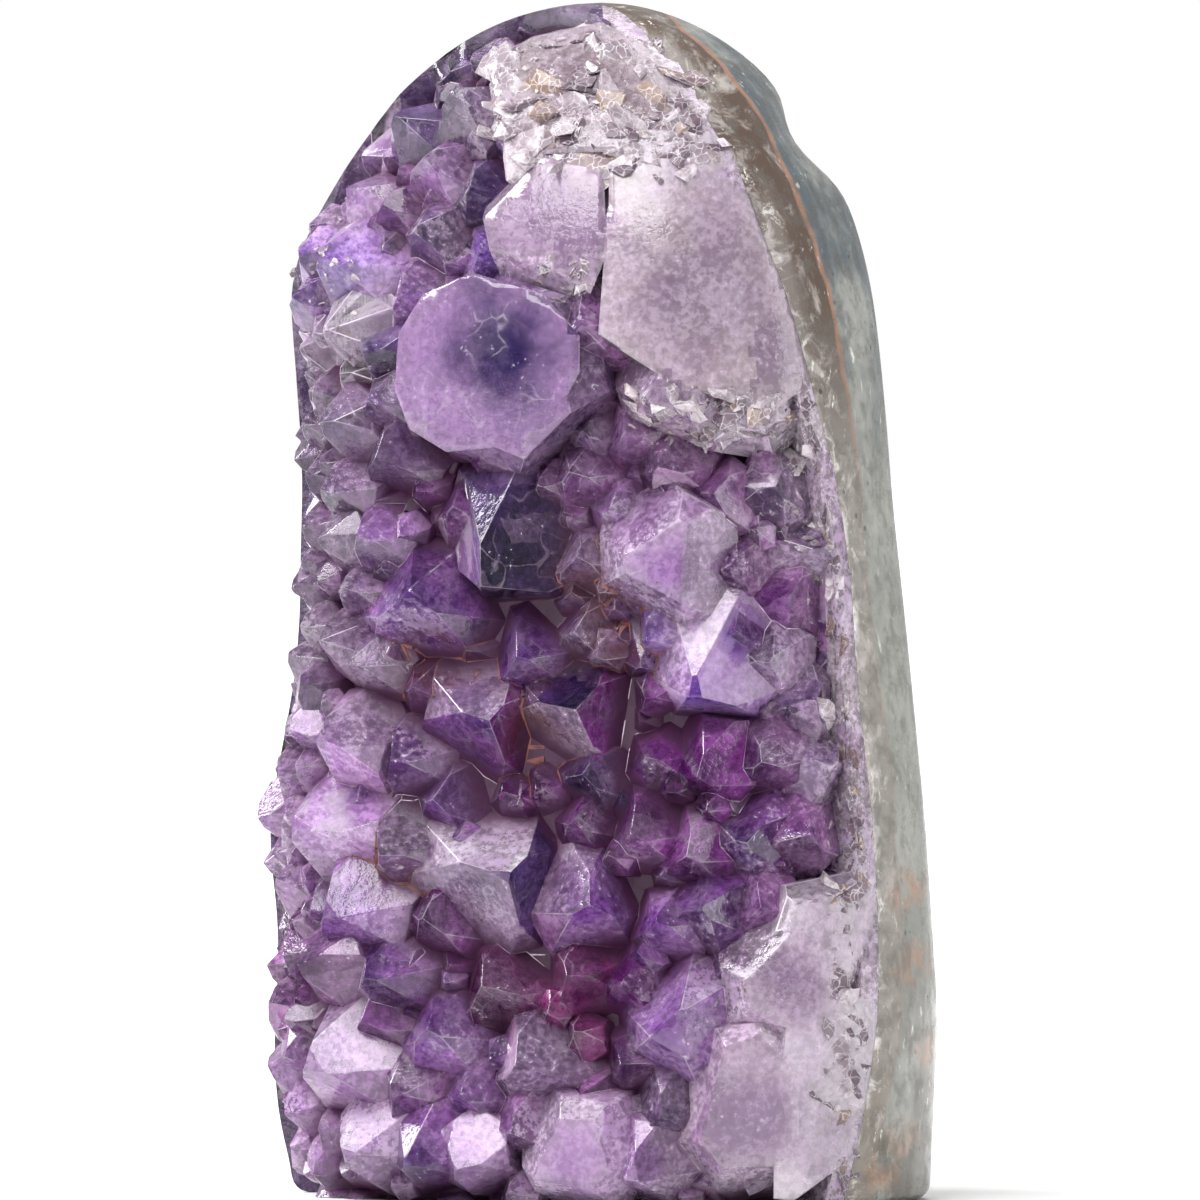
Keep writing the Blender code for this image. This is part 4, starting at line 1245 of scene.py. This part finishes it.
def rind_material():
    """Polished agate and basalt, zoned by the distance from the bed and by the height."""
    made = Nodes("polished_agate")
    distance = made.attribute("bed", "Fac")
    height = made.split(made.place)[2]
    high = made.span(height, 0.070, 0.102)
    low = made.span(height, 0.036, 0.008)
    fine = made.noise(420.0, 6.0, 0.65)
    warp = made.maths("MULTIPLY_ADD", made.noise(38.0, 4.0, 0.55, 0.3), 7.0, -3.5)
    warp = made.maths("ADD", warp, made.maths("MULTIPLY_ADD", made.noise(190.0, 4.0), 2.4, -1.2))
    layer = made.maths("ADD", distance, warp)
    # Inner zone: brown-grey high up, pale grey below
    made.colour = made.mix(high, linear(136, 132, 126), linear(80, 66, 58))
    made.over(made.patches(150.0, 0.50, 0.66, 0.8, 6.0, 0.72, 0.8), linear(172, 164, 160))
    made.over(made.times(low, 0.6), linear(112, 102, 88))
    inner = made.colour
    # Outer zone: blue-grey high up, grey-green below
    made.colour = made.mix(high, linear(132, 134, 128), linear(76, 86, 92))
    made.over(made.patches(70.0, 0.40, 0.64, 0.75, 6.0, 0.68), linear(160, 160, 153))
    made.over(made.times(low, made.patches(95.0, 0.38, 0.58, 1.0, 5.0, 0.65)), linear(86, 80, 70))
    # The two zones, with a thin tan band between them
    past = made.maths("SUBTRACT", layer, made.maths("MULTIPLY_ADD", high, 3.5, 5.5))
    made.colour = made.mix(made.span(past, -0.4, 0.5), inner, made.colour)
    tan = made.span(made.maths("ABSOLUTE", past), 0.85, 0.35)
    made.over(made.times(tan, made.maths("MULTIPLY_ADD", high, 0.75, 0.10)), linear(150, 112, 92))
    # Fine banding that follows the bed
    waves = made.span(made.maths("SINE", made.times(layer, 2.1)), 0.2, 1.0, 0.0, 0.07)
    made.over(made.times(waves, made.span(distance, 7.0, 12.0)), linear(172, 172, 166))
    # White quartz next to the druse
    broken = made.noise(260.0, 6.0, 0.75, 0.6)
    white = made.times(made.span(layer, 2.4, 0.4), made.span(broken, 0.50, 0.60))
    made.over(made.times(white, made.maths("MULTIPLY_ADD", high, -0.5, 0.8)), linear(224, 218, 216))
    crust = made.times(made.span(distance, 7.0, 1.0), made.patches(330.0, 0.55, 0.64, 0.7, 6.0, 0.8, 1.0))
    made.over(crust, linear(206, 202, 196))
    # Pale flecks drawn out upwards, ochre patches, dark mottling and pits
    stretch = made.vectors("MULTIPLY", made.place, (1.0, 1.0, 0.4))
    flecks = made.patches(1100.0, 0.63, 0.70, 0.8, 3.0, 0.6, place=stretch)
    made.over(made.times(flecks, made.patches(120.0, 0.45, 0.6, detail=2.0)), linear(232, 230, 222))
    ochre = made.times(made.spots(OCHRES), made.span(broken, 0.40, 0.60), 0.75)
    made.over(ochre, linear(168, 122, 92))
    made.over(made.span(fine, 0.42, 0.66, 0.0, 0.6), linear(84, 80, 74))
    pits = made.times(made.span(made.cells(420.0), 0.16, 0.08), made.patches(90.0, 0.50, 0.60, 0.8, 3.0))
    made.over(pits, linear(52, 48, 44))
    gloss = made.span(fine, 0.3, 0.7, 0.14, 0.34)
    return made.finished(roughness=gloss, normal=made.bump(fine, 0.15, 0.0002))


def stone_shift(obj):
    """Moves a finished piece to the stone's place in the frame."""
    obj.data.transform(Matrix.Translation((CENTRE_X * MM, CENTRE_Y * MM, 0.0)))


def only_material(obj, material):
    """Gives a piece this material and no other."""
    obj.data.materials.clear()
    obj.data.materials.append(material)


def grown(name, inset, crystals, wear, layer, form, gap):
    """Crystals on their shared root, with a layer on the bed, cut by the ground form and the bed."""
    root = outer_form(name, inset)
    united(root, crystals, wear)
    add_boolean(root, "UNION", object=behind_bed(name + "_layer", -layer))
    add_boolean(root, "INTERSECT", object=outer_form(name + "_form", form))
    add_boolean(root, "DIFFERENCE", object=behind_bed(name + "_side", -gap))
    apply_modifiers(root)
    return root


def make_hearts(crystals):
    """The dark hearts inside the crystals."""
    chance = random.Random(HEART_SEED)
    small = []
    for crystal in crystals:
        milky = crystal.looks[6] > MILKY
        share, lowered = (1.0, 0.0) if milky else (HEART_SHARE, HEART_LOWERED)
        turn = 0.0 if milky else math.radians(chance.uniform(*HEART_TURN))
        small.append(crystal.inner(share, lowered, turn))
    hearts = grown("amethyst_hearts", HEART_INSET, small, 0.0, HEART_LAYER, HEART_UNDER, HEART_GAP)
    paint(hearts, small)
    only_material(hearts, heart_material())
    return hearts


def make_rind():
    """The polished rind, with its distance from the bed written on it."""
    rind = outer_form("polished_rind")
    add_boolean(rind, "INTERSECT", object=behind_bed("rind_side", RIND_GAP))
    apply_modifiers(rind)
    layer = rind.data.attributes.new("bed", "FLOAT", "POINT")
    for vertex, value in zip(rind.data.vertices, layer.data):
        x, y, z = vertex.co / MM
        value.value = y - bed_depth(x, z)
    only_material(rind, rind_material())
    rind.data.shade_smooth()
    rind.data.set_sharp_from_angle(angle=SHARP_FROM)
    return rind


def surface_tree(pieces):
    """A tree that finds where lines of sight meet the pieces."""
    corners, faces = [], []
    for piece in pieces:
        start = len(corners)
        corners.extend(vertex.co.copy() for vertex in piece.data.vertices)
        faces.extend([start + corner for corner in face.vertices] for face in piece.data.polygons)
    return BVHTree.FromPolygons(corners, faces)


def shard(sizes, chance):
    """Corners and faces of one broken piece: the hull of scattered points."""
    bm = bmesh.new()
    for _ in range(SHARD_POINTS):
        point = Vector([chance.gauss(0, 1) for _ in range(3)]).normalized()
        bm.verts.new([c * size for c, size in zip(point, sizes)])
    hull = bmesh.ops.convex_hull(bm, input=bm.verts)
    bmesh.ops.delete(bm, geom=hull["geom_interior"], context="VERTS")
    bm.verts.index_update()
    found = [vertex.co.copy() for vertex in bm.verts], [[v.index for v in face.verts] for face in bm.faces]
    bm.free()
    return found


def make_chips(tree):
    """Broken white quartz at the top, along the bed's edge and low on the right."""
    chance = random.Random(CHIP_SEED)
    vertices, faces, shades = [], [], []
    for across, up, half_across, half_up, count, (low, high) in CHIPS:
        for _ in range(count):
            turn, reach = chance.uniform(0, 2 * math.pi), math.sqrt(chance.random())
            off_across, off_up = half_across * reach * math.cos(turn), half_up * reach * math.sin(turn)
            at = in_view(across + off_across, up + off_up)
            size = chance.uniform(low, high)
            sizes = (size, size * chance.uniform(*CHIP_WIDTHS), size * chance.uniform(*CHIP_THICKNESSES))
            points, hull = shard(sizes, chance)
            spin, tilt = chance.uniform(0, 2 * math.pi), chance.gauss(0.0, CHIP_TILT)
            point, normal, _, _ = tree.ray_cast((at - AHEAD * CHIP_SIGHT) * MM, AHEAD)
            if point is None:
                continue
            seat = Matrix.Rotation(tilt, 3, "X") @ Matrix.Rotation(spin, 3, "Z")
            seat = UP.rotation_difference(normal).to_matrix() @ seat
            start = len(vertices)
            vertices.extend(point / MM + seat @ corner - normal * sizes[2] * CHIP_SUNK for corner in points)
            faces.extend([start + corner for corner in face] for face in hull)
            shades.extend([chance.random()] * len(points))
    chips = mesh_object("quartz_chips", vertices, faces)
    layer = chips.data.attributes.new("shade", "FLOAT", "POINT")
    layer.data.foreach_set("value", shades)
    only_material(chips, chip_material())
    return chips


def valley_edges(surface):
    """Edges in the valleys between different crystals: their ends and the way out, in millimetres."""
    bm = bmesh.new()
    bm.from_mesh(surface.mesh)
    found = []
    for edge in bm.edges:
        if len(edge.link_faces) != 2 or edge.is_convex:
            continue
        one, other = (surface.owner[face.index] for face in edge.link_faces)
        if one == other or edge.calc_length() < SHORTEST_EDGE * MM:
            continue
        out = (edge.link_faces[0].normal + edge.link_faces[1].normal).normalized()
        found.append((edge.verts[0].co / MM, edge.verts[1].co / MM, out))
    bm.free()
    return found


def film(name, edges, thickness, keep):
    """A thin film along the valley edges, as thick as keep allows at each end."""
    vertices, faces = [], []
    for first, last, out in edges:
        widths = [thickness * keep(end) for end in (first, last)]
        if max(widths) < thickness * FILM_LEAST:
            continue
        side = (last - first).normalized().cross(out).normalized()
        start = len(vertices)
        for end, width in zip((first, last), widths):
            width = max(FILM_THINNEST, width)
            for a, b in FILM_SECTION:
                vertices.append(end + side * width * a + out * width * b)
        faces.extend(vertex_grid_faces(2, len(FILM_SECTION), start))
        faces.extend(((start + 3, start + 2, start + 1, start), (start + 4, start + 5, start + 6, start + 7)))
    return mesh_object(name, vertices, faces)


def seen_gap(point, places):
    """0 away from the given places in the display side's view and 1 in their middle."""
    across, best = point.dot(RIGHT), 0.0
    for at_across, at_up, radius in places:
        best = max(best, 1.0 - math.hypot(across - at_across, point.z - at_up) / radius)
    return best


def uneven(point, mean, swing, scale, lift=0.0):
    """A noise that swings about its mean."""
    return mean + swing * noise.noise(point * scale + UP * lift)


def stained(point):
    """How much iron stain lies in the valley there."""
    return min(1.0, STAIN_FILL * seen_gap(point, STAINS)) * max(0.0, uneven(point, *STAIN_BROKEN))


def seamed(point):
    """How much pale quartz lies in the valley there."""
    return max(0.0, uneven(point, *SEAM_BROKEN)) * uneven(point, *SEAM_THINNED)


def soft_light(name, place, size, power):
    """An area light that looks at the middle of the stone."""
    light = bpy.data.lights.new(name, "AREA")
    light.shape = "RECTANGLE"
    light.size, light.size_y = size
    light.energy = power
    lamp = bpy.data.objects.new(name, light)
    lamp.location = place
    aim = Vector((0.0, 0.0, HEIGHT / 2 * MM)) - Vector(place)
    lamp.rotation_euler = aim.to_track_quat("-Z", "Y").to_euler()
    bpy.context.scene.collection.objects.link(lamp)


def make_floor():
    """A pale floor that glows more the farther it is from the stone."""
    corners = [(x * FLOOR, y * FLOOR, FLOOR_DROP) for x, y in ((-1, -1), (1, -1), (1, 1), (-1, 1))]
    floor = mesh_object("studio_floor", corners, [(0, 1, 2, 3)])
    made = Nodes("pale_floor")
    made.colour = FLOOR_COLOUR
    made.shader.inputs["Emission Color"].default_value = WHITE
    away = made.vectors("LENGTH", made.place, output="Value")
    made.put(made.shader.inputs["Emission Strength"], made.span(away, GLOW_FROM, GLOW_FULL, 0.0, FLOOR_GLOW))
    floor.data.materials.append(made.finished(roughness=FLOOR_ROUGHNESS))


def make_studio():
    """The floor, a white surround that is dimmer as a light than to the camera, and soft lights."""
    make_floor()
    world = bpy.data.worlds.new("studio")
    world.use_nodes = True
    tree = world.node_tree
    seen, lit = tree.nodes["Background"], tree.nodes.new("ShaderNodeBackground")
    for shade, strength in ((seen, WORLD_SEEN), (lit, WORLD_LIGHT)):
        shade.inputs["Color"].default_value = WHITE
        shade.inputs["Strength"].default_value = strength
    path, either = tree.nodes.new("ShaderNodeLightPath"), tree.nodes.new("ShaderNodeMixShader")
    tree.links.new(path.outputs["Is Camera Ray"], either.inputs[0])
    tree.links.new(lit.outputs[0], either.inputs[1])
    tree.links.new(seen.outputs[0], either.inputs[2])
    tree.links.new(either.outputs[0], tree.nodes["World Output"].inputs["Surface"])
    bpy.context.scene.world = world
    bpy.context.scene.view_settings.view_transform = "Standard"
    for name, value in CYCLES.items():
        setattr(bpy.context.scene.cycles, name, value)
    for name, place, size, power in LIGHTS:
        soft_light(name, place, size, power)


def make_camera():
    """The camera at the photo's angle, far off and narrow."""
    camera = bpy.data.objects.new("camera", bpy.data.cameras.new("camera"))
    bpy.context.scene.collection.objects.link(camera)
    back = -AHEAD * math.cos(CAMERA_LIFT) + UP * math.sin(CAMERA_LIFT)
    camera.location = in_view(*CAMERA_AIM) + back * CAMERA_DISTANCE
    camera.rotation_mode = "QUATERNION"
    camera.rotation_quaternion = (-back).to_track_quat("-Z", "Y")
    camera.data.sensor_width = SENSOR
    camera.data.lens = SENSOR * CAMERA_DISTANCE / VIEW_WIDTH
    camera.data.clip_start, camera.data.clip_end = CAMERA_CLIP
    bpy.context.scene.camera = camera


def main():
    """Grows the crystals, makes the pieces and puts them in the frame."""
    listed = main_crystals()
    crystals = listed + fill_crystals(listed, *FILL)
    crystals += side_crystals(crystals)
    crystals += fill_crystals(crystals, *SMALL_FILL)
    crystals += fill_crystals(crystals, *EDGE_FILL, from_bed=EDGE_FROM_BED)
    even_out(crystals)
    crystals += ground_slabs()
    rind = make_rind()
    druse = grown("amethyst_crystals", ROOT_INSET, crystals, EDGE_WEAR, QUARTZ_LAYER, 0.0, 0.0)
    hearts = make_hearts(crystals)
    edges = valley_edges(paint(druse, crystals))
    stain = film("iron_stain", edges, STAIN_WIDTH, stained)
    only_material(stain, film_material("iron_stain", *STAIN_LOOKS))
    seams = film("pale_seams", edges, SEAM_WIDTH, seamed)
    only_material(seams, film_material("pale_seam", *SEAM_LOOKS))
    chips = make_chips(surface_tree((druse, rind)))
    only_material(druse, crystal_material())
    slots = ((rind, "agate"), (druse, "amethyst"), (hearts, "amethyst"), (stain, "agate"), (seams, "agate"))
    for piece, slot in (*slots, (chips, "agate")):
        stone_shift(piece)
        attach(piece, "root")
    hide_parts("agate_rind")
    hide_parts("amethyst_druse")
    make_studio()
    make_camera()


main()
